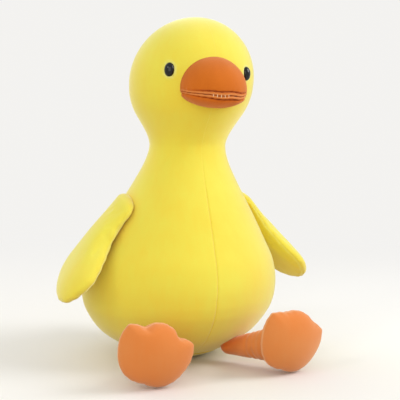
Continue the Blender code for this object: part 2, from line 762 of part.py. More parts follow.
def build_leg(word, side, surfaces):
    """Leg on its hip, and the webbed foot on its ankle with a dish for the leg's end."""
    orange, filling, guide = surfaces
    hip, ankle, ahead = leg_places(side)
    length = (ankle - hip).length
    hip_pivot = add_pivot("hip_pivot_" + word, hip)
    cover = leg_rings(leg_profile(length, ORANGE_SKIN), hip, ankle)
    cover += leg_rings(leg_profile(length, 0), hip, ankle)[::-1]
    add_object("leg_" + word + "_cover", ring_solid(cover), orange, hip_pivot)
    core = leg_rings(leg_profile(length, ORANGE_SKIN + GAP), hip, ankle)
    core += ball_rows(core[-1], ankle, (ankle - hip).normalized())
    add_object("leg_" + word + "_stuffing", ring_solid(core), filling, hip_pivot)

    ankle_pivot = add_pivot("ankle_pivot_" + word, ankle)
    frame = foot_frame(ankle, side)
    half_gap = GAP / 2
    lip = half_gap + ORANGE_SKIN
    dish = bmesh.new()
    bmesh.ops.create_uvsphere(
        dish,
        u_segments=FOOT_SIDES,
        v_segments=FOOT_SIDES // 2,
        radius=ANKLE_BALL + 2 * GAP,
        matrix=Matrix.Translation(ankle),
    )
    cutter = add_cutter("ankle_dish_" + word, dish, guide)

    def swell(share, thickness):
        return (thickness - ORANGE_SKIN) * math.sqrt(max(0, 1 - share ** 2))

    for face, way, thickness in (("sole", 1, SOLE_THICKNESS), ("instep", -1, INSTEP_THICKNESS)):
        inside = foot_rings(frame, lambda share: way * (half_gap + swell(share, thickness)), FOOT_RING_SHARES)
        outside = foot_rings(frame, lambda share: way * (lip + swell(share, thickness)), FOOT_RING_SHARES)
        panel_name = "foot_" + word + "_" + face
        panel = add_object(panel_name, ring_solid(inside + outside[::-1]), orange, ankle_pivot)
        if face == "instep":
            cut(panel, cutter)
    shares = FOOT_RING_SHARES[:FOOT_STUFFING_RINGS]
    front = foot_rings(frame, lambda share: swell(share, SOLE_THICKNESS) - half_gap, shares)
    back = foot_rings(frame, lambda share: half_gap - swell(share, INSTEP_THICKNESS), shares)
    stuffing = add_object("foot_" + word + "_stuffing", ring_solid(front + back[::-1]), filling, ankle_pivot)
    cut(stuffing, cutter)


def tail_rings(inset):
    """Rings of the tail from inside the body to its tip, which curls up."""
    root = place(*side_outline(TAIL_HEIGHT, 0), math.pi)
    rings = []
    for i in range(TAIL_ROWS + 1):
        share = i / TAIL_ROWS
        distance = mix(-TAIL_ROOT_DEPTH, TAIL_LENGTH - inset, share)
        rise = TAIL_RISE * max(0, distance) / TAIL_LENGTH
        along = Vector((0, math.cos(rise), math.sin(rise)))
        up = Vector((0, -along.z, along.y))
        taper = math.sqrt(max(0, 1 - share ** TAIL_FULLNESS))
        if i == TAIL_ROWS:
            rings.append([root + along * distance])
            continue
        ring = []
        for j in range(TAIL_SIDES):
            turn = 2 * math.pi * j / TAIL_SIDES
            across = Vector((1, 0, 0)) * (TAIL_HALF_WIDTH * taper - inset) * math.cos(turn)
            raised = up * (TAIL_HALF_THICKNESS * taper - inset) * math.sin(turn)
            ring.append(root + along * distance + across + raised)
        rings.append(ring)
    return rings


def build_tail(skin, filling, cutter):
    """A short stuffed tail low on the back."""
    cover = tail_rings(YELLOW_SKIN)[::-1] + tail_rings(0)
    cut(add_object("tail_cover", ring_solid(cover), skin), cutter)
    core = tail_rings(YELLOW_SKIN + GAP)
    core.insert(0, [sum(core[0], Vector()) / TAIL_SIDES])
    cut(add_object("tail_stuffing", ring_solid(core), filling), cutter)


for existing in list(bpy.data.objects):
    bpy.data.objects.remove(existing, do_unlink=True)

yellow_velour = material("yellow_velour", (0.87, 0.74, 0.09), 0.9)
bill_velour = material("bill_velour", (0.66, 0.19, 0.035), 0.85)
foot_velour = material("foot_velour", (0.76, 0.30, 0.12), 0.85)
fibre = material("fibre_filling", (0.90, 0.90, 0.88), 0.95)
eye_black = material("eye_black", (0.008, 0.008, 0.009), 0.06)
washer_white = material("washer_white", (0.80, 0.80, 0.78), 0.45)
guide_grey = material("guide_grey", (0.40, 0.40, 0.40), 0.5)

build_body(yellow_velour, fibre)
build_tail(yellow_velour, fibre, form_cutter("body_form", body_column, -GAP, guide_grey))
build_head((yellow_velour, bill_velour, fibre, eye_black, washer_white, guide_grey))
for side_word, side_sign in (("left", 1), ("right", -1)):
    build_wing(side_word, side_sign, yellow_velour, fibre)
    build_leg(side_word, side_sign, (foot_velour, fibre, guide_grey))
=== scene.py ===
import json
import math

import bmesh
import bpy
import numpy as np
from mathutils import Matrix, Vector, noise
from mathutils.bvhtree import BVHTree
from mathutils.interpolate import poly_3d_calc
from mathutils.kdtree import KDTree


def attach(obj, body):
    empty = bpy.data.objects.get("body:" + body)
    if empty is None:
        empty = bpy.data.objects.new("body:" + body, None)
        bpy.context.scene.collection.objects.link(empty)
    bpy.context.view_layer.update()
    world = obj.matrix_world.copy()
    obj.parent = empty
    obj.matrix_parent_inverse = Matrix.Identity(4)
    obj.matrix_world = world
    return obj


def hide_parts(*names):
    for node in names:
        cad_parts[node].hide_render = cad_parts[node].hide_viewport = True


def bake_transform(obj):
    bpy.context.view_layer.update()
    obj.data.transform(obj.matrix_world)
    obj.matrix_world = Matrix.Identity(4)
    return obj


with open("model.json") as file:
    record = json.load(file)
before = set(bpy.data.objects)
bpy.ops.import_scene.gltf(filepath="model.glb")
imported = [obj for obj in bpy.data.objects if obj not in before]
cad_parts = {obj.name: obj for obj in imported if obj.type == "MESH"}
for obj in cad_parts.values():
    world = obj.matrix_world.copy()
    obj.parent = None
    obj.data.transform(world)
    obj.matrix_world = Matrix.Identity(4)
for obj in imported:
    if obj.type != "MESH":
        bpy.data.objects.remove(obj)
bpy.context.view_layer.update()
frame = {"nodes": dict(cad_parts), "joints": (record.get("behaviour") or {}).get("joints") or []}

# Stage and camera
# A pale floor under a pale surround. The broad key lamp stands at the right in front, and
# weaker lamps stand nearer the camera, at the left and behind. The camera looks at the
# duck's right front from a little above the floor.
PHOTO_PIXELS = 400
FOCAL_PIXELS = 955
DUCK_AXIS_PIXEL = 174.4
VIEW_AZIMUTH = math.radians(-22.0)
CAMERA_DISTANCE = 1.0
CAMERA_HEIGHT = 0.2493
AIM = Vector((0, 0, 0.162))
# Name, place, width, power and colour of each lamp
LAMPS = (
    ("key_lamp", (1.35, -0.65, 1.10), 0.9, 17.0, (0.98, 1.0, 1.0)),
    ("front_lamp", (-0.95, -1.50, 0.70), 1.3, 8.5, (1.0, 0.99, 0.96)),
    ("side_lamp", (-1.45, -0.60, 1.20), 0.26, 3.0, (1.0, 0.99, 0.96)),
    ("back_lamp", (-0.55, 1.60, 1.05), 1.4, 9.0, (1.0, 1.0, 0.98)),
)


def added(name, data):
    """A new object in the scene."""
    made = bpy.data.objects.new(name, data)
    bpy.context.scene.collection.objects.link(made)
    return made


def aimed(thing, place, target):
    """Puts a lamp or a camera at a place and turns it to look at the target."""
    thing.location = place
    thing.rotation_euler = (target - Vector(place)).to_track_quat("-Z", "Y").to_euler()


camera = added("camera", bpy.data.cameras.new("camera"))
camera.data.lens = FOCAL_PIXELS / PHOTO_PIXELS * camera.data.sensor_width
camera.data.shift_x = 0.5 - DUCK_AXIS_PIXEL / PHOTO_PIXELS
aimed(
    camera,
    (CAMERA_DISTANCE * math.sin(VIEW_AZIMUTH), -CAMERA_DISTANCE * math.cos(VIEW_AZIMUTH), CAMERA_HEIGHT),
    AIM,
)
bpy.context.scene.camera = camera

for lamp_name, lamp_place, lamp_size, lamp_power, lamp_colour in LAMPS:
    lamp = bpy.data.lights.new(lamp_name, "AREA")
    lamp.size = lamp_size
    lamp.energy = lamp_power
    lamp.color = lamp_colour
    aimed(added(lamp_name, lamp), lamp_place, AIM)

bpy.context.scene.view_settings.view_transform = "Standard"

# Fabric and its pile
# Short-pile velour: a knitted back with a dense brushed pile, so its sides catch the
# light, its colour shifts in soft patches where the nap was brushed, and seams show pale.
# Shade is painted deep into the pile in creases, in the mouth, where parts meet and towards
# the toes, and a highlight is painted pale along the bill's lips.


class Wire:
    """A socket that takes part in sums; each operator adds its Math node."""

    def __init__(self, nodes, socket):
        self.nodes = nodes
        self.socket = socket

    def math(self, operation, *values):
        return self.nodes.node("ShaderNodeMath", {"operation": operation}, *values)

    def __add__(self, other):
        return self.math("ADD", self, other)

    __radd__ = __add__

    def __sub__(self, other):
        return self.math("SUBTRACT", self, other)

    def __rsub__(self, other):
        return self.math("SUBTRACT", other, self)

    def __mul__(self, other):
        return self.math("MULTIPLY", self, other)

    __rmul__ = __mul__


class Nodes:
    """A node tree that is built up node by node."""

    def __init__(self, tree):
        self.tree = tree

    def node(self, kind, settings=None, *values, output=0, **named):
        """Adds a node, sets it up, gives its sockets their values or links, and returns an output."""
        made = self.tree.nodes.new(kind)
        for setting, value in (settings or {}).items():
            setattr(made, setting, value)
        sockets = [s for s in made.inputs if s.enabled]
        by_name = {s.name: s for s in reversed(sockets)}
        for socket, value in zip(sockets, values):
            self.give(socket, value)
        for name, value in named.items():
            self.give(by_name[name.replace("_", " ")], value)
        usable = [s for s in made.outputs if s.enabled]
        return Wire(self, usable[output]) if usable else None

    def give(self, socket, value):
        """Links a wire to a socket, or sets a plain value on it."""
        if isinstance(value, Wire):
            self.tree.links.new(value.socket, socket)
        elif value is not None:
            socket.default_value = value


class Finish(Nodes):
    """A material that is built up from nodes on one Principled BSDF."""

    def __init__(self, name, **constants):
        self.material = bpy.data.materials.new(name)
        self.material.use_nodes = True
        super().__init__(self.material.node_tree)
        self.shader = self.tree.nodes["Principled BSDF"]
        for socket, value in constants.items():
            self.shader.inputs[socket.replace("_", " ")].default_value = value

    def feed(self, **sockets):
        """What varies over the surface goes into the shader."""
        for name, value in sockets.items():
            self.give(self.shader.inputs[name.replace("_", " ")], value)

    def mix(self, share, start, end):
        """A colour at this share of the way between two."""
        colours = [value if isinstance(value, Wire) else (*value, 1.0) for value in (start, end)]
        return self.node("ShaderNodeMix", {"data_type": "RGBA"}, Factor=share, A=colours[0], B=colours[1])


FULL_TURN = 2 * math.pi
QUARTER_TURN = math.pi / 2
PILE_GRAIN = 1500.0
PILE_DEPTH = 0.00022
PILE_BUMP = 0.35
PILE_SHINE = 0.10
PILE_ROUGHNESS = 0.88
ROUGHNESS_SPREAD = 0.2
SHEEN_ROUGHNESS = 0.50
SHEEN_WHITE_SHARE = 0.45
NAP_PATCH = 18.0
NAP_STREAK = 130.0
NAP_STREAK_SHARES = (1.0, 1.0, 0.28)
PATCH_CONTRAST = 0.55
STREAK_CONTRAST = 0.25
GRAIN_CONTRAST = 0.35
STREAK_BUMP_SHARE = 0.8
PLAIN_SHARE = 0.80
PALE_MARK_SHARE = 0.6
DEEP_MARK_SHARE = 0.9
# Deep, plain and pale colour, and the strength of the sheen; deep also paints shade, pale a highlight
VELOURS = {
    "yellow_velour": ((0.90, 0.53, 0.010), (0.82, 0.77, 0.088), (0.90, 0.94, 0.42), 0.95),
    "bill_velour": ((0.40, 0.070, 0.005), (0.66, 0.170, 0.014), (0.94, 0.52, 0.22), 0.35),
    "foot_velour": ((0.76, 0.17, 0.012), (0.73, 0.275, 0.080), (0.93, 0.60, 0.33), 0.70),
}


def mix_of(start, end, share):
    """The value or point at this share of the way."""
    return start + (end - start) * share


def turns_round(count):
    """Evenly spaced turns, once round."""
    return [FULL_TURN * i / count for i in range(count)]


def smooth_step(share):
    """0 to 1 with a soft start and end."""
    held = min(1.0, max(0.0, share))
    return held * held * (3 - 2 * held)


def velour(name, deep, plain, pale, sheen):
    """Brushed pile in three shades of one colour: pale on seams and painted highlights, deep on dark seams
    and painted shade.
    """
    made = Finish(
        name,
        Sheen_Weight=sheen,
        Sheen_Roughness=SHEEN_ROUGHNESS,
        Sheen_Tint=(*[mix_of(channel, 1.0, SHEEN_WHITE_SHARE) for channel in pale], 1.0),
        Specular_IOR_Level=PILE_SHINE,
    )
    where = made.node("ShaderNodeTexCoord", output=3)
    stretched = made.node("ShaderNodeMapping", Vector=where, Scale=NAP_STREAK_SHARES)
    grain = made.node("ShaderNodeTexNoise", Vector=where, Scale=PILE_GRAIN, Detail=2.0, Roughness=0.6)
    patch = made.node("ShaderNodeTexNoise", Vector=where, Scale=NAP_PATCH, Detail=2.0, Roughness=0.5)
    brushed = made.node("ShaderNodeTexNoise", Vector=stretched, Scale=NAP_STREAK, Detail=3.0, Roughness=0.6)
    # The seam layer marks seams, painted shade and painted highlights
    seam = made.node("ShaderNodeAttribute", {"attribute_name": "seam"}, output=2)
    shade = (patch - 0.5) * PATCH_CONTRAST + (brushed - 0.5) * STREAK_CONTRAST
    shade = shade + (grain - 0.5) * GRAIN_CONTRAST + PLAIN_SHARE
    edged = made.mix(seam * PALE_MARK_SHARE, made.mix(shade, deep, plain), pale)
    height = grain + brushed * STREAK_BUMP_SHARE
    made.feed(
        Base_Color=made.mix(seam * -DEEP_MARK_SHARE, edged, deep),
        Roughness=(grain - 0.5) * ROUGHNESS_SPREAD + PILE_ROUGHNESS,
        Normal=made.node("ShaderNodeBump", Strength=PILE_BUMP, Distance=PILE_DEPTH, Height=height),
    )
    return made.material


finishes = {name: velour(name, *look) for name, look in VELOURS.items()}

# Body and head
# One pear-shaped form of two side panels, each cut in one piece from the seat to the
# crown, sewn together down the front and the back and stuffed tight. A round panel
# closes the seat.
SKIN = 0.0025
SEAT_FLAT_RADIUS = 0.024
SEAT_EDGE_RADIUS = 0.050
SEAT_EDGE_HEIGHT = 0.008
BELLY_RADIUS = 0.1015
BELLY_HEIGHT = 0.085
CROWN_HEIGHT = 0.350
HEAD_RADIUS = 0.0643
HEAD_BELOW_CROWN = 0.0645
NECK_RADIUS = 0.0395
NECK_BELOW_HEAD = 0.0655
HEAD_LEAN_LEFT = 0.012
HEAD_LEAN_FORWARD = 0.017
DEPTH_SHARE = 0.96
BELLY_FILL_SHARES = ((0.27, 0.614), (0.49, 0.866), (0.627, 0.963), (0.766, 1.006), (0.90, 1.0136))
CHEST_FILL_SHARES = (
    (0.12, 0.063), (0.26, 0.213), (0.48, 0.468), (0.615, 0.635), (0.73, 0.777), (0.884, 0.941), (0.96, 0.990),
)
CHEEK_FILL_SHARES = (
    (0.08, 0.040), (0.18, 0.145), (0.30, 0.325), (0.40, 0.495), (0.556, 0.745), (0.715, 0.905), (0.85, 0.978),
)
SEAT_CURL = 1.6
HEAD_HEIGHT = CROWN_HEIGHT - HEAD_BELOW_CROWN
NECK_HEIGHT = HEAD_HEIGHT - NECK_BELOW_HEAD

FORM_COLUMNS = 120
PANEL_COLUMNS = 112
PANEL_CROWDING_SHARE = 0.8
SEAT_COLUMNS = 160
SEAT_SEAM_DEGREES = 360
SIDE_ROWS = 138
CROWN_ROWS = 46
SEAT_ROWS = 30
MERGE_DISTANCE = 1e-6
SLIVER_WIDTH = 1e-7

VOXEL = 0.005
STUFFING_PRESSURE = 4.0
STUFFING_FRAMES = 20
SWELL_LIMIT = 0.0025
BODY_SEAM = {
    "depth": 0.0004, "width": 0.0009, "mark": -0.3, "pucker": 0.0002, "spacing": 0.011, "fade": 0.065,
}
SEAT_SEAM = {"depth": 0.0010, "width": 0.0018, "mark": -0.3, "pucker": 0.0004, "spacing": 0.008, "seed": 3.0}
PUCKER_REACH = 3
PUCKER_END = 4
PUCKER_DRIFT_SHARE = 0.6
PUCKER_SWING = 2.4
PUCKER_DEPTH_SHARES = (0.65, 0.7)
WELT_WIDTH_SHARE = 0.55
TUCK_END = 4
# Painted shade where one piece meets another
TUCK_PAINTED_SHADE = -0.5
BEND_START_HEIGHT = 0.190
BEND_END_HEIGHT = 0.248

FACE_TILT = math.radians(2.0)
EYE_WIDTH = 0.0102
EYE_HEIGHT = 0.0138
EYE_ANGLE = math.radians(39.2)
EYES_TURN = math.radians(-3.2)
EYE_RAISE = math.radians(6.8)
SOCKET_DEPTH = 0.0009
SOCKET_LIP = 0.0008
SOCKET_LIP_WIDTH = 0.0013
SOCKET_LIP_PLACE_SHARE = 0.3
SOCKET_EDGE_SHARE = 0.2
SOCKET_LIP_MARK = 0.9


def smooth_value(points, x):
    """Height at x of a smooth curve through the points that never swings past them."""
    steps = [(b[1] - a[1]) / (b[0] - a[0]) for a, b in zip(points, points[1:])]
    slopes = [steps[0]]
    for before, after in zip(steps, steps[1:]):
        slopes.append(2 * before * after / (before + after) if before * after > 0 else 0.0)
    slopes.append(steps[-1])
    k = 0
    while k < len(points) - 2 and x > points[k + 1][0]:
        k += 1
    (x0, y0), (x1, y1) = points[k], points[k + 1]
    span = x1 - x0
    t = (x - x0) / span
    rise = slopes[k] * span
    run_out = slopes[k + 1] * span
    bend = 3 * (y1 - y0) - 2 * rise - run_out
    twist = rise + run_out - 2 * (y1 - y0)
    return y0 + rise * t + bend * t ** 2 + twist * t ** 3


def stations_between(low, high, shares):
    """Rings between two named rings, at shares of their height and girth."""
    return [(mix_of(low[0], high[0], up), mix_of(low[1], high[1], out)) for up, out in shares]


SEAT_EDGE = (SEAT_EDGE_HEIGHT, SEAT_EDGE_RADIUS)
BELLY = (BELLY_HEIGHT, BELLY_RADIUS)
NECK = (NECK_HEIGHT, NECK_RADIUS)
HEAD = (HEAD_HEIGHT, HEAD_RADIUS)
FORM_RINGS = [
    SEAT_EDGE,
    *stations_between(SEAT_EDGE, BELLY, BELLY_FILL_SHARES),
    BELLY,
    *stations_between(BELLY, NECK, CHEST_FILL_SHARES),
    NECK,
    *stations_between(NECK, HEAD, CHEEK_FILL_SHARES),
    HEAD,
]


def place(radius, height, angle):
    """Point about the leaning centre line; angle 0 faces forward, a quarter turn is the left side."""
    lean = height / HEAD_HEIGHT
    return (
        HEAD_LEAN_LEFT * lean + radius * math.sin(angle),
        -HEAD_LEAN_FORWARD * lean - radius * DEPTH_SHARE * math.cos(angle),
        height,
    )


def placed_rows(profile, turns):
    """A grid of points about the centre line: a row for each radius and height of the profile."""
    return [[place(radius, height, turn) for turn in turns] for radius, height in profile]


def form_profile():
    """Radius and height from the seat's edge up the side to the crown."""
    profile = []
    for i in range(SIDE_ROWS):
        height = mix_of(SEAT_EDGE_HEIGHT, HEAD_HEIGHT, i / SIDE_ROWS)
        profile.append((smooth_value(FORM_RINGS, height), height))
    for i in range(CROWN_ROWS + 1):
        turn = QUARTER_TURN * i / CROWN_ROWS
        profile.append((HEAD_RADIUS * math.cos(turn), HEAD_HEIGHT + HEAD_BELOW_CROWN * math.sin(turn)))
    return profile


def seat_profile():
    """Radius and height from the seat's middle out to its edge."""
    profile = []
    for i in range(SEAT_ROWS + 1):
        reach = SEAT_EDGE_RADIUS * i / SEAT_ROWS
        share = max(0, (reach - SEAT_FLAT_RADIUS) / (SEAT_EDGE_RADIUS - SEAT_FLAT_RADIUS))
        profile.append((reach, SEAT_EDGE_HEIGHT * share ** SEAT_CURL))
    return profile


def grid_piece(name, grid, around=True):
    """A smooth skin over rows of points. Equal points close up, and its faces point outwards."""
    rows = len(grid)
    columns = len(grid[0])
    faces = []
    last = columns if around else columns - 1
    for i in range(rows - 1):
        for j in range(last):
            k = (j + 1) % columns
            faces.append((i * columns + j, i * columns + k, (i + 1) * columns + k, (i + 1) * columns + j))
    mesh = bpy.data.meshes.new(name)
    mesh.from_pydata([point for row in grid for point in row], [], faces)
    maker = bmesh.new()
    maker.from_mesh(mesh)
    bmesh.ops.remove_doubles(maker, verts=maker.verts, dist=MERGE_DISTANCE)
    bmesh.ops.dissolve_degenerate(maker, edges=maker.edges, dist=SLIVER_WIDTH)
    bmesh.ops.recalc_face_normals(maker, faces=maker.faces)
    maker.to_mesh(mesh)
    maker.free()
    mesh.shade_smooth()
    return added(name, mesh)


def points_of(piece):
    """The piece's points as an array."""
    points = np.empty(len(piece.data.vertices) * 3)
    piece.data.vertices.foreach_get("co", points)
    return points.reshape(-1, 3)


def set_points(piece, points):
    """Moves the piece's points."""
    piece.data.vertices.foreach_set("co", np.asarray(points, float).ravel())
    piece.data.update()


def normals_of(piece):
    """The outward direction at each of the piece's points."""
    return np.array([tuple(v.vector) for v in piece.data.vertex_normals])


def as_shown(piece):
    """A mesh of the piece as its modifiers make it."""
    depsgraph = bpy.context.evaluated_depsgraph_get()
    return bpy.data.meshes.new_from_object(piece.evaluated_get(depsgraph))


def finished(piece):
    """Applies the piece's modifiers."""
    mesh = as_shown(piece)
    piece.modifiers.clear()
    piece.data = mesh


def stuffed(form, voxel, cap, pinned=None):
    """Presses a closed form out like stuffing does. Gives a function from a point to how far it moved."""
    copy = added(form.name + "_pressed", form.data.copy())
    even = copy.modifiers.new("even grid", "REMESH")
    even.mode = "VOXEL"
    even.voxel_size = voxel
    finished(copy)
    rest = points_of(copy)
    group = copy.vertex_groups.new(name="pinned")
    for i, point in enumerate(rest):
        if pinned and pinned(point):
            group.add([i], 1.0, "REPLACE")
    cloth = copy.modifiers.new("stuffing", "CLOTH")
    cloth.settings.use_pressure = True
    cloth.settings.uniform_pressure_force = STUFFING_PRESSURE
    cloth.settings.effector_weights.gravity = 0
    cloth.settings.vertex_group_mass = group.name
    cloth.point_cache.frame_start = 1
    cloth.point_cache.frame_end = STUFFING_FRAMES
    scene = bpy.context.scene
    for frame_number in range(1, STUFFING_FRAMES + 1):
        scene.frame_set(frame_number)
    finished(copy)
    scene.frame_set(1)
    moved = points_of(copy) - rest
    length = np.linalg.norm(moved, axis=1, keepdims=True)
    moved *= np.minimum(1, cap / np.maximum(length, 1e-9))
    polygons = [tuple(p.vertices) for p in copy.data.polygons]
    corners = [Vector(p) for p in rest]
    tree = BVHTree.FromPolygons(corners, polygons)
    steps = [Vector(m) for m in moved]
    bpy.data.objects.remove(copy)

    def shift(point):
        near, _, index, _ = tree.find_nearest(point)
        members = polygons[index]
        weights = poly_3d_calc([corners[i] for i in members], near)
        return sum((steps[i] * w for i, w in zip(members, weights)), Vector())

    return shift


def carried(piece, shift):
    """Moves each point of the piece by the shift found for its place."""
    points = points_of(piece)
    set_points(piece, [point + np.array(shift(Vector(point))) for point in points])


def sewn(piece, seam, depth, width, mark=1.0, pucker=0.0, spacing=0.009, welt=0.0, seed=0.0, fade=0.0):
    """Draws the piece in along a seam, with small puckers beside it, and marks the pile along it as a seam,
    painted shade or painted highlight.
    """
    lengths = np.cumsum([0] + [math.dist(a, b) for a, b in zip(seam, seam[1:])])
    tree = KDTree(len(seam))
    for i, point in enumerate(seam):
        tree.insert(point, i)
    tree.balance()
    points = points_of(piece)
    normals = normals_of(piece)
    marks = marks_of(piece)
    spread = PUCKER_REACH * width
    for i, point in enumerate(points):
        _, index, away = tree.find(point)
        if away > PUCKER_END * spread:
            continue
        along = lengths[index]
        held = smooth_step(min(along, lengths[-1] - along) / fade) if fade else 1.0
        fall = held * math.exp(-(away / width) ** 2)
        drift = noise.noise(Vector((along / spacing * PUCKER_DRIFT_SHARE, seed, 0)))
        least, more = PUCKER_DEPTH_SHARES
        wave = math.sin(FULL_TURN * along / spacing + PUCKER_SWING * drift) * (least + more * drift)
        beside = held * away / spread * math.exp(0.5 - (away / spread) ** 2)
        raised = welt * math.exp(-(away / (WELT_WIDTH_SHARE * width)) ** 2)
        lift = raised - depth * fall + pucker * wave * beside
        points[i] += normals[i] * lift
        marks[i] += mark * fall
    set_marks(piece, marks)
    set_points(piece, points)


def marks_of(piece):
    """How pale, above 0, or deep, below 0, the pile is at each point of the piece."""
    # Besides seams, the seam layer holds painted shade and painted highlights
    layer = piece.data.attributes.get("seam") or piece.data.attributes.new("seam", "FLOAT", "POINT")
    marks = np.zeros(len(piece.data.vertices))
    layer.data.foreach_get("value", marks)
    return marks


def set_marks(piece, marks):
    """Keeps the marks of the piece's pile."""
    piece.data.attributes["seam"].data.foreach_set("value", np.clip(marks, -1, 1))


def tucked(piece, surface, depth, width, mark=TUCK_PAINTED_SHADE):
    """Draws the piece in where it meets another's surface, as its sewn edge does, and paints shade there."""
    points = points_of(piece)
    normals = normals_of(piece)
    marks = marks_of(piece)
    for i, point in enumerate(points):
        _, _, _, away = surface.find_nearest(Vector(point), TUCK_END * width)
        if away is not None:
            fall = math.exp(-(away / width) ** 2)
            points[i] -= normals[i] * depth * fall
            marks[i] += mark * fall
    set_marks(piece, marks)
    set_points(piece, points)


def surface_of(piece):
    """The piece's surface, to measure distances from."""
    return BVHTree.FromPolygons(
        [v.co for v in piece.data.vertices],
        [tuple(p.vertices) for p in piece.data.polygons],
    )


def head_frame(angle, turn):
    """Where the stuffed head's surface lies at this angle and turn; local Z points out and Y up."""
    step = math.radians(0.1)
    point, beside, above = (
        Vector(place(HEAD_RADIUS * math.cos(t), HEAD_HEIGHT + HEAD_BELOW_CROWN * math.sin(t), a))
        for a, t in ((angle, turn), (angle + step, turn), (angle, turn + step))
    )
    across = (beside - point).normalized()
    out = across.cross(above - point).normalized()
    turned = Matrix((across, out.cross(across), out)).transposed().to_4x4()
    return Matrix.Translation(point + body_shift(point)) @ turned


def socket_pressed(piece, eye):
    """Presses the skin in under an eye and raises the small lip of pile that stands round it."""
    points = points_of(piece)
    normals = normals_of(piece)
    marks = marks_of(piece)
    back = eye.inverted()
    for i, point in enumerate(points):
        local = back @ Vector(point)
        if abs(local.z) > EYE_HEIGHT:
            continue
        reach = math.hypot(local.x / EYE_WIDTH, local.y / EYE_HEIGHT) * 2
        away = (reach - 1) * math.hypot(local.x, local.y) / max(reach, 0.01)
        lip = math.exp(-((away - SOCKET_LIP_PLACE_SHARE * SOCKET_LIP_WIDTH) / SOCKET_LIP_WIDTH) ** 2)
        pressed = 1 / (1 + math.exp(min(50, away / (SOCKET_EDGE_SHARE * SOCKET_LIP_WIDTH))))
        points[i] += normals[i] * (SOCKET_LIP * lip - SOCKET_DEPTH * pressed)
        marks[i] += SOCKET_LIP_MARK * lip
    set_marks(piece, marks)
    set_points(piece, points)


def walled(piece, thickness):
    """Gives an open skin its fabric's thickness, inwards."""
    wall = piece.modifiers.new("fabric", "SOLIDIFY")
    wall.thickness = thickness
    wall.offset = -1.0
    finished(piece)


def dressed(piece, finish, body, nodes):
    """Finish, body and replaced nodes of a piece."""
    piece.data.materials.clear()
    piece.data.materials.append(finishes[finish])
    if body:
        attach(piece, body)
    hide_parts(*nodes)
    return piece


def panel_turns(columns):
    """Angles from the front seam to the back seam, crowded at both."""
    turns = []
    for i in range(columns + 1):
        share = i / columns
        crowding = PANEL_CROWDING_SHARE * math.sin(FULL_TURN * share) / FULL_TURN
        turns.append(math.pi * (share - crowding))
    return turns


form_rows = form_profile()
seat_rows = seat_profile()
whole_form = grid_piece("whole_form", placed_rows(seat_rows + form_rows, turns_round(FORM_COLUMNS)))
body_shift = stuffed(whole_form, VOXEL, SWELL_LIMIT, lambda point: point[2] < SEAT_EDGE_HEIGHT / 2)
carried(whole_form, body_shift)
body_surface = surface_of(whole_form)
bpy.data.objects.remove(whole_form)

front_seam = [Vector(place(radius, height, 0)) for radius, height in form_rows if height < NECK_HEIGHT]
back_seam = [Vector(place(radius, height, math.pi)) for radius, height in form_rows]
seat_seam = [
    Vector(place(SEAT_EDGE_RADIUS, SEAT_EDGE_HEIGHT, math.radians(i))) for i in range(SEAT_SEAM_DEGREES + 1)
]
eye_frames = {}
side_panels = {}

for word, side in (("left", 1), ("right", -1)):
    turns = [side * turn for turn in panel_turns(PANEL_COLUMNS)]
    panel = grid_piece("side_panel_" + word, placed_rows(form_rows, turns), around=False)
    if normals_of(panel)[:, 0].sum() * side < 0:
        panel.data.flip_normals()
    carried(panel, body_shift)
    for seam in (front_seam, back_seam):
        sewn(panel, [point + body_shift(point) for point in seam], **BODY_SEAM)
    sewn(panel, seat_seam, **SEAT_SEAM)
    eye_angle = side * EYE_ANGLE + EYES_TURN
    eye_frames[word] = head_frame(eye_angle, EYE_RAISE - FACE_TILT * math.sin(eye_angle))
    socket_pressed(panel, eye_frames[word])
    walled(panel, SKIN)
    replaced = ["body_panel_" + word, "head_panel_" + word]
    if side > 0:
        replaced += ["body_stuffing", "head_stuffing"]
    side_panels[word] = dressed(panel, "yellow_velour", None, replaced)
    place(0, BEND_START_HEIGHT, 0)
    place(0, BEND_END_HEIGHT, 0)
    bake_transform(panel)

seat = grid_piece("seat_panel", placed_rows(seat_rows, turns_round(SEAT_COLUMNS)))
if normals_of(seat)[0][2] > 0:
    seat.data.flip_normals()
sewn(seat, seat_seam, **SEAT_SEAM)
walled(seat, SKIN)
dressed(seat, "yellow_velour", "torso", ["base_panel"])

# Tail
# A short flat point of two layers of velour, stuffed and sewn on low over the back seam,
# with its tip turned up.
TAIL_HEIGHT = 0.072
TAIL_LENGTH = 0.034
TAIL_ROOT_DEPTH = 0.012
TAIL_HALF_WIDTH = 0.0190
TAIL_HALF_THICKNESS = 0.0120
TAIL_RISE = math.radians(32.0)
TAIL_FULLNESS = 2.4
TAIL_ROWS = 48
TAIL_SIDES = 72
TAIL_SEAM = {"depth": 0.0007, "width": 0.0012, "mark": 0.5, "pucker": 0.0006, "spacing": 0.008, "seed": 5.0}
TAIL_TUCK_DEPTH = 0.0010
TAIL_TUCK_WIDTH = 0.0015


def tail_rings():
    """Rings of the tail from inside the body to its tip, which curls up."""
    root = Vector(place(smooth_value(FORM_RINGS, TAIL_HEIGHT), TAIL_HEIGHT, math.pi))
    rings = []
    for i in range(TAIL_ROWS + 1):
        share = math.sin(QUARTER_TURN * i / TAIL_ROWS)
        distance = mix_of(-TAIL_ROOT_DEPTH, TAIL_LENGTH, share)
        rise = TAIL_RISE * max(0, distance) / TAIL_LENGTH
        along = Vector((0, math.cos(rise), math.sin(rise)))
        up = Vector((0, -along.z, along.y))
        taper = math.sqrt(max(0, 1 - share ** TAIL_FULLNESS))
        ring = []
        for turn in turns_round(TAIL_SIDES):
            across = Vector((TAIL_HALF_WIDTH * taper * math.cos(turn), 0, 0))
            ring.append(root + along * distance + across + up * TAIL_HALF_THICKNESS * taper * math.sin(turn))
        rings.append(ring)
    return rings


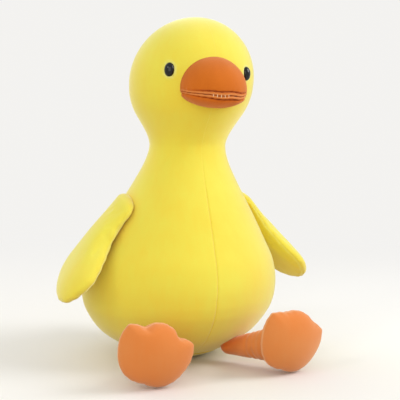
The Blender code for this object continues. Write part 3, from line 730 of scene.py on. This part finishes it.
tail_grid = tail_rings()
tail = grid_piece("tail", [[sum(tail_grid[0], Vector()) / TAIL_SIDES] * TAIL_SIDES, *tail_grid])
tail_edge = [ring[0] for ring in tail_grid] + [ring[TAIL_SIDES // 2] for ring in tail_grid[::-1]]
sewn(tail, tail_edge, **TAIL_SEAM)
# The tail is drawn in where it meets the body, with painted shade there
tucked(tail, body_surface, TAIL_TUCK_DEPTH, TAIL_TUCK_WIDTH)
dressed(tail, "yellow_velour", "torso", ["tail_cover", "tail_stuffing"])

# Eyes
# Two oval safety eyes of glossy black plastic. A stem goes through the skin into a lock
# washer of white plastic, which pulls the eye down into the pile.
EYE_DOME = 0.0040
EYE_RIM = 0.0007
EYE_BEVEL_SHARE = 0.96
EYE_STEM_RADIUS = 0.0020
EYE_STEM_LENGTH = 0.0095
EYE_SIDES = 64
EYE_ROWS = 20

eye_black = Finish("eye_black", Base_Color=(0.006, 0.006, 0.007, 1.0), Specular_IOR_Level=0.34)
moulded = eye_black.node("ShaderNodeTexCoord", output=3)
wear = eye_black.node("ShaderNodeTexNoise", Vector=moulded, Scale=420.0, Detail=3.0)
eye_black.feed(Roughness=wear * 0.10 + 0.03)
finishes["eye_black"] = eye_black.material

washer_white = Finish("washer_white", Specular_IOR_Level=0.4)
moulded = washer_white.node("ShaderNodeTexCoord", output=3)
mottle = washer_white.node("ShaderNodeTexNoise", Vector=moulded, Scale=300.0, Detail=2.0)
washer_white.feed(
    Base_Color=washer_white.mix(mottle, (0.76, 0.76, 0.73), (0.84, 0.84, 0.82)),
    Roughness=mottle * 0.2 + 0.35,
)


def eye_rings(eye):
    """Rings of the dome, the rim that sinks into the pile, the flat back and the stem."""
    profile = []
    for i in range(EYE_ROWS + 1):
        turn = QUARTER_TURN * i / EYE_ROWS
        profile.append((math.sin(turn), EYE_DOME * math.cos(turn)))
    profile += [(1.0, -EYE_RIM / 2), (EYE_BEVEL_SHARE, -EYE_RIM)]
    profile.append((2 * EYE_STEM_RADIUS / EYE_HEIGHT, -EYE_RIM))
    rings = []
    for share, level in profile:
        ring = []
        for turn in turns_round(EYE_SIDES):
            across = Vector((EYE_WIDTH * math.cos(turn), EYE_HEIGHT * math.sin(turn), 0)) * share / 2
            ring.append(eye @ (across + Vector((0, 0, level))))
        rings.append(ring)
    stem = ((EYE_STEM_RADIUS, -EYE_RIM), (EYE_STEM_RADIUS, -EYE_STEM_LENGTH), (0, -EYE_STEM_LENGTH))
    for radius, level in stem:
        turned = [(math.cos(turn), math.sin(turn)) for turn in turns_round(EYE_SIDES)]
        rings.append([eye @ Vector((radius * x, radius * y, level)) for x, y in turned])
    return rings


for word in ("left", "right"):
    eye_piece = grid_piece("eye_button_" + word, eye_rings(eye_frames[word]))
    dressed(eye_piece, "eye_black", "head", ["eye_" + word])
    washer = frame["nodes"]["eye_washer_" + word]
    for used in washer.material_slots:
        used.material = washer_white.material

# Bill
# A domed upper bill and a shallow lower one of orange velour. Each has a narrow lip, the
# lips are closed with a ladder stitch, and the stuffed bill is sewn onto the face.
BILL_HALF_WIDTH = 0.0338
BILL_LENGTH = 0.034
BILL_CORNER_REACH = 0.053
BILL_DROOP = 0.0045
BILL_BACK_SHARE = 0.4
UPPER_BILL_HEIGHT = 0.0355
LOWER_BILL_HEIGHT = 0.015
LOWER_BILL_SETBACK = 0.0008
LOWER_BILL_RECESS = 0.0028
MOUTH_DROP = 0.0125
MOUTH_GAP = 0.00015
LOWER_BILL_FULLNESS = 1.4
UPPER_LIP_RADIUS = 0.0019
LOWER_LIP_RADIUS = 0.00165
LIP_CREASE_SHARE = 0.94
CREASE_FILLET = 0.0024
CREASE_TURN = math.radians(70.0)
LIP_TURN = math.radians(55.0)
BILL_COLUMNS = 240
DOME_ROWS = 44
FILLET_ROWS = 8
LIP_ROWS = 16
MOUTH_ROWS = 10
LADDER_SPACING = 0.0034
LADDER_STITCH = 0.0027
LADDER_THREAD_RADIUS = 0.00034
LADDER_TURN = math.radians(13.0)
LADDER_MIDDLE = math.radians(-9.0)
LADDER_STEPS = 40
LADDER_INSET = 0.0001
STITCH_SIDES = 6
STITCH_SINK_SHARE = 1.5
STITCH_RISE_SHARE = 0.6
CORNER_CREASE_SHARE = 0.25
CORNER_PINCH_SHARE = 0.5
MOUTH_WAVE = 0.0011
MOUTH_WAVE_TURN = math.radians(24.0)
CREASE_SEAM_TURN = math.radians(72.0)
# The crease under the bill's dome: drawn in, puckered and painted dark as shade
CREASE_SEAM_AND_SHADE = {
    "depth": 0.0007, "width": 0.0010, "mark": -1.0, "pucker": 0.0002, "spacing": 0.007, "fade": 0.03,
}
# A painted highlight along the middle of each lip, with puckers
LIP_PUCKERS_AND_HIGHLIGHT = {"depth": 0, "width": 0.0009, "mark": 0.6, "pucker": 0.0004, "spacing": 0.0065}
# Painted shade along the closed mouth between the lips
MOUTH_PAINTED_SHADE = {"depth": 0, "width": 0.0008, "mark": -0.9}
# Reach of the painted shade where the bill meets the face
BILL_SHADE_REACH = 0.0016
# Name, way, height, setback, lip, recess and fullness of each half
BILL_HALVES = (
    ("upper", 1, UPPER_BILL_HEIGHT, 0, UPPER_LIP_RADIUS, 0, 1.0),
    (
        "lower", -1, LOWER_BILL_HEIGHT, LOWER_BILL_SETBACK, LOWER_LIP_RADIUS,
        LOWER_BILL_RECESS, LOWER_BILL_FULLNESS,
    ),
)


def bill_profile(height, lip, recess, fullness):
    """Share of the outline, inset and level, from the dome's top over the lip to the mouth's middle."""
    crease = MOUTH_GAP + 2 * lip * LIP_CREASE_SHARE
    base = crease + CREASE_FILLET * math.sin(CREASE_TURN)
    rows = []
    for i in range(DOME_ROWS):
        turn = QUARTER_TURN * (1 - i / DOME_ROWS)
        rows.append((math.cos(turn), recess, base + (height - base) * math.sin(turn) ** fullness))
    for i in range(FILLET_ROWS + 1):
        turn = CREASE_TURN * i / FILLET_ROWS
        rows.append((1, recess + CREASE_FILLET * (1 - math.cos(turn)), base - CREASE_FILLET * math.sin(turn)))
    for i in range(LIP_ROWS + 1):
        turn = mix_of(LIP_TURN, -QUARTER_TURN, i / LIP_ROWS)
        rows.append((1, lip * (1 - math.cos(turn)), MOUTH_GAP + lip * (1 + math.sin(turn))))
    for i in range(1, MOUTH_ROWS + 1):
        rows.append((1 - i / MOUTH_ROWS, lip, MOUTH_GAP))
    return rows


def bill_point(turn, half_width, length, level):
    """A point on the bill's outline; turn 0 is straight ahead, and the level counts from the mouth."""
    ahead = length * math.cos(turn)
    if ahead < 0:
        ahead *= BILL_BACK_SHARE
    droop = BILL_DROOP * ahead / BILL_LENGTH
    spot = Vector((half_width * math.sin(turn), -BILL_CORNER_REACH - ahead, level - MOUTH_DROP - droop))
    return Matrix.Translation(place(0, HEAD_HEIGHT, 0)) @ Matrix.Rotation(FACE_TILT, 4, "Y") @ spot


def mouth_wave(turn):
    """How far the sewn lips wander up or down at this turn."""
    return MOUTH_WAVE * noise.noise(Vector((math.remainder(turn, FULL_TURN) / MOUTH_WAVE_TURN, 0.4, 0)))


def bill_rings(way, height, setback, lip, recess, fullness):
    """Rings over one half of the bill; way is 1 for the upper half and -1 for the lower one."""
    rings = []
    seam_height = MOUTH_GAP + 2 * lip
    for share, inset, level in bill_profile(height, lip, recess, fullness):
        ring = []
        for turn in turns_round(BILL_COLUMNS):
            creased = inset * mix_of(CORNER_CREASE_SHARE, 1, math.cos(turn) ** 2)
            wide = max(0, (BILL_HALF_WIDTH - setback - creased) * share)
            long = max(0, (BILL_LENGTH - setback - creased) * share)
            wave = mouth_wave(turn) * max(0, 1 - level / height)
            pinch = 1 - CORNER_PINCH_SHARE * (1 - max(0, math.cos(turn)) ** 2)
            low = min(level, seam_height) * pinch
            high = max(0, level - seam_height) * (height - seam_height * pinch) / (height - seam_height)
            ring.append(bill_point(turn, wide, long, way * (low + high) + wave))
        rings.append(ring)
    return rings


for word, way, *sizes in BILL_HALVES:
    rings = bill_rings(way, *sizes)
    half = grid_piece(word + "_bill", rings)
    reach = round(BILL_COLUMNS * CREASE_SEAM_TURN / FULL_TURN)
    crease_ring = rings[DOME_ROWS + FILLET_ROWS]
    lip_ring = rings[DOME_ROWS + FILLET_ROWS + 1 + LIP_ROWS // 2]
    mouth_ring = rings[DOME_ROWS + FILLET_ROWS + 1 + LIP_ROWS]
    crease = crease_ring[-reach:] + crease_ring[:reach + 1]
    # Painted shade in the crease under the dome
    sewn(half, crease, **CREASE_SEAM_AND_SHADE, seed=7.0 + way)
    # Painted shade in the mouth
    sewn(half, mouth_ring, **MOUTH_PAINTED_SHADE)
    # Painted highlight along the lip
    sewn(half, lip_ring, **LIP_PUCKERS_AND_HIGHLIGHT, seed=9.0 + way)
    # Painted shade on the bill near the face
    tucked(half, body_surface, 0, BILL_SHADE_REACH)
    dressed(half, "bill_velour", "head", [word + "_bill_cover", word + "_bill_stuffing"])

bill_thread = Finish("bill_thread", Roughness=0.6, Sheen_Weight=0.3)
spun = bill_thread.node("ShaderNodeTexCoord", output=3)
ply = bill_thread.node("ShaderNodeTexNoise", Vector=spun, Scale=2600.0, Detail=2.0)
bill_thread.feed(Base_Color=bill_thread.mix(ply, (0.93, 0.60, 0.34), (0.97, 0.76, 0.52)))


def stitched(name, path, thread):
    """Short bowed stitches of thread laid across a path, evenly spaced, as one plain mesh."""
    tree = bpy.data.node_groups.new("ladder_stitches", "GeometryNodeTree")
    tree.interface.new_socket("Path", in_out="INPUT", socket_type="NodeSocketGeometry")
    tree.interface.new_socket("Stitches", in_out="OUTPUT", socket_type="NodeSocketGeometry")
    nodes = Nodes(tree)
    line = nodes.node("NodeGroupInput")
    half = LADDER_STITCH / 2
    sunk = -LADDER_THREAD_RADIUS * STITCH_SINK_SHARE
    risen = LADDER_THREAD_RADIUS * STITCH_RISE_SHARE
    ends = ((0, -half, sunk), (0, 0, risen), (0, half, sunk))
    bow = nodes.node("GeometryNodeCurveQuadraticBezier", None, STITCH_SIDES, *ends)
    section = nodes.node("GeometryNodeCurvePrimitiveCircle", None, STITCH_SIDES, Radius=LADDER_THREAD_RADIUS)
    stitch = nodes.node("GeometryNodeCurveToMesh", Curve=bow, Profile_Curve=section, Fill_Caps=True)
    points = nodes.node("GeometryNodeResampleCurve", {"mode": "LENGTH"}, Curve=line, Length=LADDER_SPACING)
    tangent = nodes.node("GeometryNodeInputTangent")
    out = nodes.node("ShaderNodeVectorMath", {"operation": "CROSS_PRODUCT"}, tangent, (0, 0, 1))
    turned = nodes.node(
        "FunctionNodeAxesToRotation", {"primary_axis": "Z", "secondary_axis": "X"}, out, tangent,
    )
    laid = nodes.node("GeometryNodeInstanceOnPoints", Points=points, Instance=stitch, Rotation=turned)
    real = nodes.node("GeometryNodeRealizeInstances", Geometry=laid)
    dyed = nodes.node("GeometryNodeSetMaterial", Geometry=real, Material=thread)
    nodes.node("NodeGroupOutput", None, dyed)
    curve = bpy.data.curves.new(name + "_path", "CURVE")
    curve.dimensions = "3D"
    spline = curve.splines.new("POLY")
    spline.points.add(len(path) - 1)
    for point, spot in zip(spline.points, path):
        point.co = (*spot, 1.0)
    row = added(name + "_path", curve)
    row.modifiers.new("stitches", "NODES").node_group = tree
    mesh = as_shown(row)
    bpy.data.objects.remove(row)
    return added(name, mesh)


mouth_line = []
sewn_half_width = BILL_HALF_WIDTH - LADDER_INSET
sewn_length = BILL_LENGTH - LADDER_INSET
for i in range(LADDER_STEPS + 1):
    turn = LADDER_MIDDLE + mix_of(-LADDER_TURN, LADDER_TURN, i / LADDER_STEPS)
    mouth_line.append(bill_point(turn, sewn_half_width, sewn_length, mouth_wave(turn)))
mouth_stitches = stitched("mouth_stitches", mouth_line, bill_thread.material)
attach(mouth_stitches, "head")

# Wings
# Each wing is two panels of the body's velour, sewn together round the edge, turned and
# stuffed thinly. It is sewn on across the shoulder and hangs down.
WING_LENGTH = 0.1147
WING_ROOT_WIDTH = 0.041
WING_WIDTH = 0.076
WING_ROOT_THICKNESS = 0.013
WING_THICKNESS = 0.0215
WING_ROOT_HEIGHT = 0.1574
WING_ROOT_ANGLE = math.radians(90.3)
WINGS_TURN = math.radians(10.0)
WING_STAND_OFF = math.radians(14.5)
WING_SWEEP_BACK = math.radians(6.9)
WING_TIP_TWIST = math.radians(5.2)
WING_BOW_SHARE = 0.180
WING_WRAP_RADIUS = 0.083
WING_WIDEST_SHARE = 0.73
WING_FLARE = 4.0
WING_TIP_FULLNESS = 1.35
WING_CAP = 0.011
WING_CAP_LEAN = 0.0060
WING_ROOT_SLANT = 0.0060
WING_START_INSET = 0.0010
WING_EDGE_FULLNESS = 0.85
WING_SEAM_TURN = math.radians(28.0)
WING_DENT = 0.0008
WING_DENT_SEED = 4
# Painted shade on the wing's inner face and on the body beside it, and how far it reaches
WING_SHADE_REACH = 0.006
WING_SHADE = -0.7
BODY_SHADE = -0.3
WING_TUCK_DEPTH = 0.0008
WING_TUCK_WIDTH = 0.0014
WING_SEAM = {"depth": 0.0004, "width": 0.0012, "mark": 0.4, "pucker": 0.0005, "spacing": 0.013}
WING_VOXEL = 0.004
WING_DENT_SPACING = 0.028
WING_SCALLOP_END_SHARE = 0.6
WING_SCALLOP = 0.0009
WING_SCALLOP_SPACING = 0.013
WING_EDGE_POWER = 9
WING_SLANT_POWER = 4
WING_SWELL_LIMIT = 0.0016
WING_BEND = 0.024
WING_ROWS = 110
WING_CAP_ROWS = 16
WING_SIDES = 160


def wing_frame(side, pivot):
    """Hinge line of a wing: X runs down the wing, Y forward and Z out of its outer face."""
    radius = smooth_value(FORM_RINGS, WING_ROOT_HEIGHT)
    angle = side * WING_ROOT_ANGLE + WINGS_TURN
    out = Vector((math.sin(angle), -math.cos(angle), 0))
    up = Vector((0, 0, 1))
    hang = math.atan((BELLY_RADIUS - radius) / (WING_ROOT_HEIGHT - BELLY_HEIGHT)) + WING_STAND_OFF
    hanging = out * math.sin(hang) - up * math.cos(hang)
    outer = out * math.cos(hang) + up * math.sin(hang)
    ahead = Vector((-math.cos(angle), -math.sin(angle), 0)) * side
    down_wing = hanging * math.cos(WING_SWEEP_BACK) - ahead * math.sin(WING_SWEEP_BACK)
    forward = ahead * math.cos(WING_SWEEP_BACK) + hanging * math.sin(WING_SWEEP_BACK)
    return Matrix.Translation(pivot) @ Matrix((down_wing, forward, outer)).transposed().to_4x4()


def wing_half_width(share):
    """Half the wing's width at this share of its length: it flares and then rounds off."""
    full = WING_WIDTH / 2 - WING_START_INSET
    if share < WING_WIDEST_SHARE:
        grown = math.sin(QUARTER_TURN * share / WING_WIDEST_SHARE) ** WING_FLARE
        return mix_of(WING_ROOT_WIDTH / 2, full, grown)
    past = (share - WING_WIDEST_SHARE) / (1 - WING_WIDEST_SHARE)
    return full * math.sqrt(max(0, 1 - past ** WING_TIP_FULLNESS))


def wing_crown(share):
    """Half the wing's thickness along its middle."""
    grown = math.sin(QUARTER_TURN * min(1, share / WING_WIDEST_SHARE))
    past = max(0, (share - WING_WIDEST_SHARE) / (1 - WING_WIDEST_SHARE))
    half = mix_of(WING_ROOT_THICKNESS, WING_THICKNESS, grown) / 2 - WING_START_INSET / 2
    return half * math.sqrt(max(0, 1 - past ** 2))


def wing_ring(hinge, share, cap, seed):
    """A ring round the wing; cap is how far, 0 to 1, it lies up the rounded end over the hinge."""
    ring = []
    closing = math.sqrt(max(0, 1 - cap ** 2))
    for around in turns_round(WING_SIDES):
        across = math.cos(around)
        edge = abs(across) ** WING_EDGE_POWER * math.copysign(1, across)
        wander = noise.noise(Vector((share * WING_LENGTH / WING_SCALLOP_SPACING, seed, across)))
        chord = wing_half_width(share) * across * closing
        waved = math.sin(math.pi * min(1, share / WING_SCALLOP_END_SHARE))
        chord += WING_SCALLOP * 2 * wander * edge * waved
        lens = abs(math.sin(around)) ** WING_EDGE_FULLNESS * math.copysign(1, math.sin(around))
        dented = Vector((share * WING_LENGTH, chord, 0)) / WING_DENT_SPACING
        dent = noise.noise(dented + Vector((0, 0, WING_DENT_SEED * seed)))
        rise = wing_crown(share) * closing * lens + WING_DENT * dent * closing * abs(lens)
        rise -= chord ** 2 / (2 * WING_WRAP_RADIUS) * (1 - share) + WING_CAP_LEAN * (1 - closing)
        turn = WING_TIP_TWIST * share
        along = WING_LENGTH * share - WING_CAP * cap
        along += WING_ROOT_SLANT * chord / (WING_ROOT_WIDTH / 2) * (1 - share) ** WING_SLANT_POWER
        forward = chord * math.cos(turn) - rise * math.sin(turn) + along * WING_BOW_SHARE * share
        ring.append(hinge @ Vector((along, forward, chord * math.sin(turn) + rise * math.cos(turn))))
    return ring


def seam_point(ring, turn):
    """A point of a wing's ring at this turn from its front edge; a turn below 0 is on the inner face."""
    spot = turn / FULL_TURN * WING_SIDES
    before = math.floor(spot)
    return mix_of(ring[before % WING_SIDES], ring[(before + 1) % WING_SIDES], spot - before)


joint_places = {joint["name"]: Vector(joint["pos_m"]) for joint in frame["joints"]}

for word, side in (("left", 1), ("right", -1)):
    pivot = joint_places["wing_" + word + "_flap"]
    hinge = wing_frame(side, pivot)
    down_wing = hinge.to_3x3() @ Vector((1, 0, 0))
    caps = [math.sin(QUARTER_TURN * (1 - i / WING_CAP_ROWS)) for i in range(WING_CAP_ROWS)]
    shares = [math.sin(QUARTER_TURN * i / WING_ROWS) for i in range(WING_ROWS + 1)]
    rings = [wing_ring(hinge, 0, cap, side) for cap in caps]
    rings += [wing_ring(hinge, share, 0, side) for share in shares]
    rolled = [0] * WING_CAP_ROWS + [WING_SEAM_TURN * share for share in shares]
    edge = [seam_point(ring, -turn) for ring, turn in zip(rings, rolled)]
    edge += [seam_point(ring, math.pi + turn) for ring, turn in zip(rings[::-1], rolled[::-1])]
    wing = grid_piece("wing_" + word, rings)
    shift = stuffed(
        wing, WING_VOXEL, WING_SWELL_LIMIT,
        lambda point: (Vector(point) - pivot).dot(down_wing) < WING_CAP / 2,
    )
    carried(wing, shift)
    edge = [point + shift(point) for point in edge]
    sewn(wing, edge, **WING_SEAM, seed=11.0 + side)
    # The wing is drawn in where it meets the body, with painted shade there, on its inner face and on the
    # body beside it
    tucked(wing, body_surface, WING_TUCK_DEPTH, WING_TUCK_WIDTH)
    tucked(wing, body_surface, 0, WING_SHADE_REACH, mark=WING_SHADE)
    tucked(side_panels[word], surface_of(wing), 0, WING_SHADE_REACH, mark=BODY_SHADE)
    part = "wing_" + word
    replaced = [part + "_outer_panel", part + "_inner_panel", part + "_stuffing"]
    dressed(wing, "yellow_velour", None, replaced)
    pivot - down_wing * WING_CAP / 4
    pivot + down_wing * WING_BEND
    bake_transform(wing)

# Legs
# Soft tubes of the feet's orange velour, stuffed loosely so that they wrinkle at the
# ankle. Each starts in a round end at the seat's seam and is sewn onto its foot's instep.
HIP_RADIUS = 0.0085
ANKLE_RADIUS = 0.0175
LEG_FOLD_SHARES = (0.50, 0.64, 0.76, 0.90)
LEG_FOLD_DEPTH = 0.0009
LEG_FOLD_WIDTH = 0.0024
LEG_FOLD_WANDER = 0.0022
LEG_FOLD_DEPTH_SHARES = (0.7, 0.9)
LEG_FOLD_SEED = 3
LEG_TUCK_DEPTH = 0.0012
LEG_TUCK_WIDTH = 0.0016
# Painted shade on the leg near the body
LEG_SHADE = -0.9
LEG_IN_FOOT = 0.0130
LEG_SHADE_REACH = 0.012
LEG_NOSE = 0.013
HIP_LIFT = 0.0060
ANKLE_LIFT = 0.0110
LEG_ROWS = 110
LEG_NOSE_ROWS = 16
LEG_SIDES = 96


def leg_radius(distance, length, turn, seed):
    """The leg's radius at this distance from the hip, drawn in at each fold."""
    share = min(1, distance / length)
    radius = mix_of(HIP_RADIUS, ANKLE_RADIUS, share)
    around = Vector((math.cos(turn), math.sin(turn), 0))
    wander = noise.noise(around + Vector((0, 0, seed)))
    least, more = LEG_FOLD_DEPTH_SHARES
    for k, fold in enumerate(LEG_FOLD_SHARES):
        drift = noise.noise(around + Vector((0, 0, seed + LEG_FOLD_SEED * k)))
        away = distance - length * fold - LEG_FOLD_WANDER * wander
        radius -= LEG_FOLD_DEPTH * (least + more * drift) * math.exp(-(away / LEG_FOLD_WIDTH) ** 2)
    return radius


def leg_rings(hip, ankle, seed):
    """Rings from the hip's round end to inside the foot."""
    along = (ankle - hip).normalized()
    side = along.cross(Vector((0, 0, 1))).normalized()
    up = side.cross(along)
    length = (ankle - hip).length
    noses = [QUARTER_TURN * (1 - i / LEG_NOSE_ROWS) for i in range(LEG_NOSE_ROWS)]
    stations = [(math.cos(turn), -LEG_NOSE * math.sin(turn)) for turn in noses]
    stations += [(1, (length + LEG_IN_FOOT) * i / LEG_ROWS) for i in range(LEG_ROWS + 1)]
    stations.append((0, length + LEG_IN_FOOT))
    rings = []
    for share, distance in stations:
        ring = []
        for turn in turns_round(LEG_SIDES):
            radius = leg_radius(max(0, distance), length, turn, seed) * share
            spot = hip + along * distance + (side * math.cos(turn) + up * math.sin(turn)) * radius
            spot.z = max(spot.z, FLOOR_GAP)
            ring.append(spot)
        rings.append(ring)
    return rings


# Feet
# Webbed feet of two layers, a sole that faces forward and an instep, sewn together round
# three toes and turned. They are stuffed firmly and stand on their heels. Each leg is
# made after its foot, because it is drawn in where it meets the foot.
FOOT_REACH = 0.039
FOOT_OUTLINE_SHARES = (
    (0, 0.80), (18, 0.79), (36, 0.74), (48, 0.87), (60, 1.00), (76, 0.97), (104, 0.90), (142, 0.87),
    (180, 0.77),
)
FOOT_WEB_FILL = 0.07
FOOT_WEB_DEGREES = 38
FOOT_WEB_SPREAD = 11
# Painted shade towards the top of the foot
FOOT_TOP_SHADE = 0.5
SOLE_THICKNESS = 0.0165
INSTEP_THICKNESS = 0.0120
FOOT_SPREAD = math.radians(8.4)
FOOT_AHEAD = 0.0190
FOOT_ASIDE = 0.0063
FOOT_ROLL = math.radians(20.0)
FOOT_LEAN = math.radians(6.0)
FLOOR_GAP = 0.0004
FOOT_SIDES = 288
FOOT_ROWS = 44
FOOT_START_INSET = 0.0008
FOOT_MIDDLE_SHARE = 0.85
FOOT_TOE_DEPTH = 4.0
FOOT_SWELL_LIMIT = 0.0014
FOOT_VOXEL = 0.004
FOOT_SEAM = {
    "depth": 0.0007, "width": 0.0011, "mark": 0.8, "pucker": 0.0003, "spacing": 0.0085, "welt": 0.0005,
}


def foot_outline(turn, side):
    """Distance from the foot's middle to its edge; turn 0 is the middle toe."""
    degrees = abs(math.degrees(math.remainder(turn, FULL_TURN)))
    web = FOOT_WEB_FILL * (1 + side) / 2 * math.exp(-((degrees - FOOT_WEB_DEGREES) / FOOT_WEB_SPREAD) ** 2)
    return FOOT_REACH * (smooth_value(FOOT_OUTLINE_SHARES, degrees) + web)


def foot_frame(ankle, side):
    """Middle of the foot on its edge seam: local X is level, Y is the toes and Z the sole's way."""
    up = Vector((0, 0, 1))
    ahead = Vector((side * math.sin(FOOT_SPREAD), -math.cos(FOOT_SPREAD), 0))
    across = up.cross(ahead)
    facing = ahead * math.cos(FOOT_LEAN) - up * math.sin(FOOT_LEAN)
    upright = up * math.cos(FOOT_LEAN) + ahead * math.sin(FOOT_LEAN)
    toes = upright * math.cos(FOOT_ROLL) + across * math.sin(FOOT_ROLL)
    level = toes.cross(facing)
    heights = [
        foot_outline(turn, side) * (level.z * math.sin(turn) + toes.z * math.cos(turn))
        for turn in turns_round(FOOT_SIDES)
    ]
    centre = ankle + ahead * FOOT_AHEAD + across * FOOT_ASIDE * side
    centre.z = FLOOR_GAP - min(heights)
    return Matrix.Translation(centre) @ Matrix((level, toes, facing)).transposed().to_4x4()


def foot_rings(middle, side):
    """Rings from the middle of the sole over the edge seam to the middle of the instep."""
    rings = []
    for i in range(2 * FOOT_ROWS + 1):
        turned = math.pi * i / (2 * FOOT_ROWS)
        share = math.sin(turned)
        thickness = SOLE_THICKNESS if i <= FOOT_ROWS else INSTEP_THICKNESS
        level = (thickness - FOOT_START_INSET) * math.cos(turned)
        toed = share ** FOOT_TOE_DEPTH
        ring = []
        for turn in turns_round(FOOT_SIDES):
            outline = mix_of(FOOT_REACH * FOOT_MIDDLE_SHARE, foot_outline(turn, side), toed)
            reach = (outline - FOOT_START_INSET) * share
            ring.append(middle @ Vector((reach * math.sin(turn), reach * math.cos(turn), level)))
        rings.append(ring)
    return rings


for word, side in (("left", 1), ("right", -1)):
    hip = joint_places["hip_" + word]
    ankle = joint_places["ankle_" + word]
    ahead = ankle - hip
    ahead.z = 0
    ahead.normalize()
    middle = foot_frame(ankle, side)
    rings = foot_rings(middle, side)
    foot = grid_piece("foot_" + word, rings)
    shift = stuffed(foot, FOOT_VOXEL, FOOT_SWELL_LIMIT)
    carried(foot, shift)
    rim = [point + shift(point) for point in rings[FOOT_ROWS] + rings[FOOT_ROWS][:1]]
    sewn(foot, rim, **FOOT_SEAM, seed=17.0 + side)
    points = points_of(foot)
    # Painted shade: the pile is painted deeper towards the toes at the top of the foot
    toeward = (points - np.array(middle.translation)) @ np.array(middle.to_3x3().col[1]) / FOOT_REACH
    set_marks(foot, marks_of(foot) - FOOT_TOP_SHADE * np.clip(toeward, 0, 1))
    points[:, 2] = np.maximum(points[:, 2], FLOOR_GAP / 2)
    set_points(foot, points)
    part = "foot_" + word
    dressed(foot, "foot_velour", part, [part + "_sole", part + "_instep", part + "_stuffing"])
    rings = leg_rings(hip + Vector((0, 0, HIP_LIFT)), ankle + Vector((0, 0, ANKLE_LIFT)), 23.0 * side)
    leg = grid_piece("leg_" + word, rings)
    # The leg is drawn in at its foot with painted shade there, and painted shade near the body
    tucked(leg, surface_of(foot), LEG_TUCK_DEPTH, LEG_TUCK_WIDTH)
    tucked(leg, body_surface, 0, LEG_SHADE_REACH, mark=LEG_SHADE)
    part = "leg_" + word
    dressed(leg, "foot_velour", None, [part + "_cover", part + "_stuffing"])
    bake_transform(leg)

# Floor and surround
# A wide pale floor that fades into the pale surround some way behind the duck.
FLOOR_RADIUS = 6.0
FLOOR_SIDES = 96
FLOOR_COLOUR = (0.86, 0.85, 0.83)
FLOOR_BOUNCE = (0.60, 0.48, 0.33)
SURROUND_COLOUR = (0.90, 0.89, 0.87)
SURROUND_LIGHT = 0.74
FADE_START = 0.22
FADE_END = 0.95
# Camera, glossy and transmission rays among a light path's outputs
LIGHT_PATH_OUTPUTS = (0, 3, 6)

floor_maker = bmesh.new()
bmesh.ops.create_circle(floor_maker, cap_ends=True, segments=FLOOR_SIDES, radius=FLOOR_RADIUS)
floor_mesh = bpy.data.meshes.new("floor")
floor_maker.to_mesh(floor_mesh)
floor_maker.free()
floor = added("floor", floor_mesh)


def seen_directly(nodes):
    """1 for what the camera sees, also in a gloss or through glass, and 0 for light on the object."""
    rays = [nodes.node("ShaderNodeLightPath", output=i) for i in LIGHT_PATH_OUTPUTS]
    return rays[0].math("MAXIMUM", rays[0], rays[1].math("MAXIMUM", rays[1], rays[2]))


floor_finish = Finish("floor_finish", Roughness=0.8, Specular_IOR_Level=0.2)
floor_finish.feed(Base_Color=floor_finish.mix(seen_directly(floor_finish), FLOOR_BOUNCE, FLOOR_COLOUR))
spot = floor_finish.node("ShaderNodeTexCoord", output=3)
distance = floor_finish.node("ShaderNodeVectorMath", {"operation": "LENGTH"}, spot)
fade = floor_finish.node(
    "ShaderNodeMapRange", {"interpolation_type": "SMOOTHSTEP"}, distance, FADE_START, FADE_END, 0.0, 1.0,
)
far = floor_finish.node("ShaderNodeEmission", None, (*SURROUND_COLOUR, 1.0), 1.0)
mixed = floor_finish.node(
    "ShaderNodeMixShader", None,
    fade * seen_directly(floor_finish),
    Wire(floor_finish, floor_finish.shader.outputs[0]),
    far,
)
floor_finish.give(floor_finish.tree.nodes["Material Output"].inputs["Surface"], mixed)
floor_mesh.materials.append(floor_finish.material)

world = bpy.data.worlds.new("surround")
bpy.context.scene.world = world
world.use_nodes = True
sky = Nodes(world.node_tree)
background = world.node_tree.nodes["Background"]
background.inputs["Color"].default_value = (*SURROUND_COLOUR, 1.0)
sky.give(background.inputs["Strength"], seen_directly(sky) * (1.0 - SURROUND_LIGHT) + SURROUND_LIGHT)
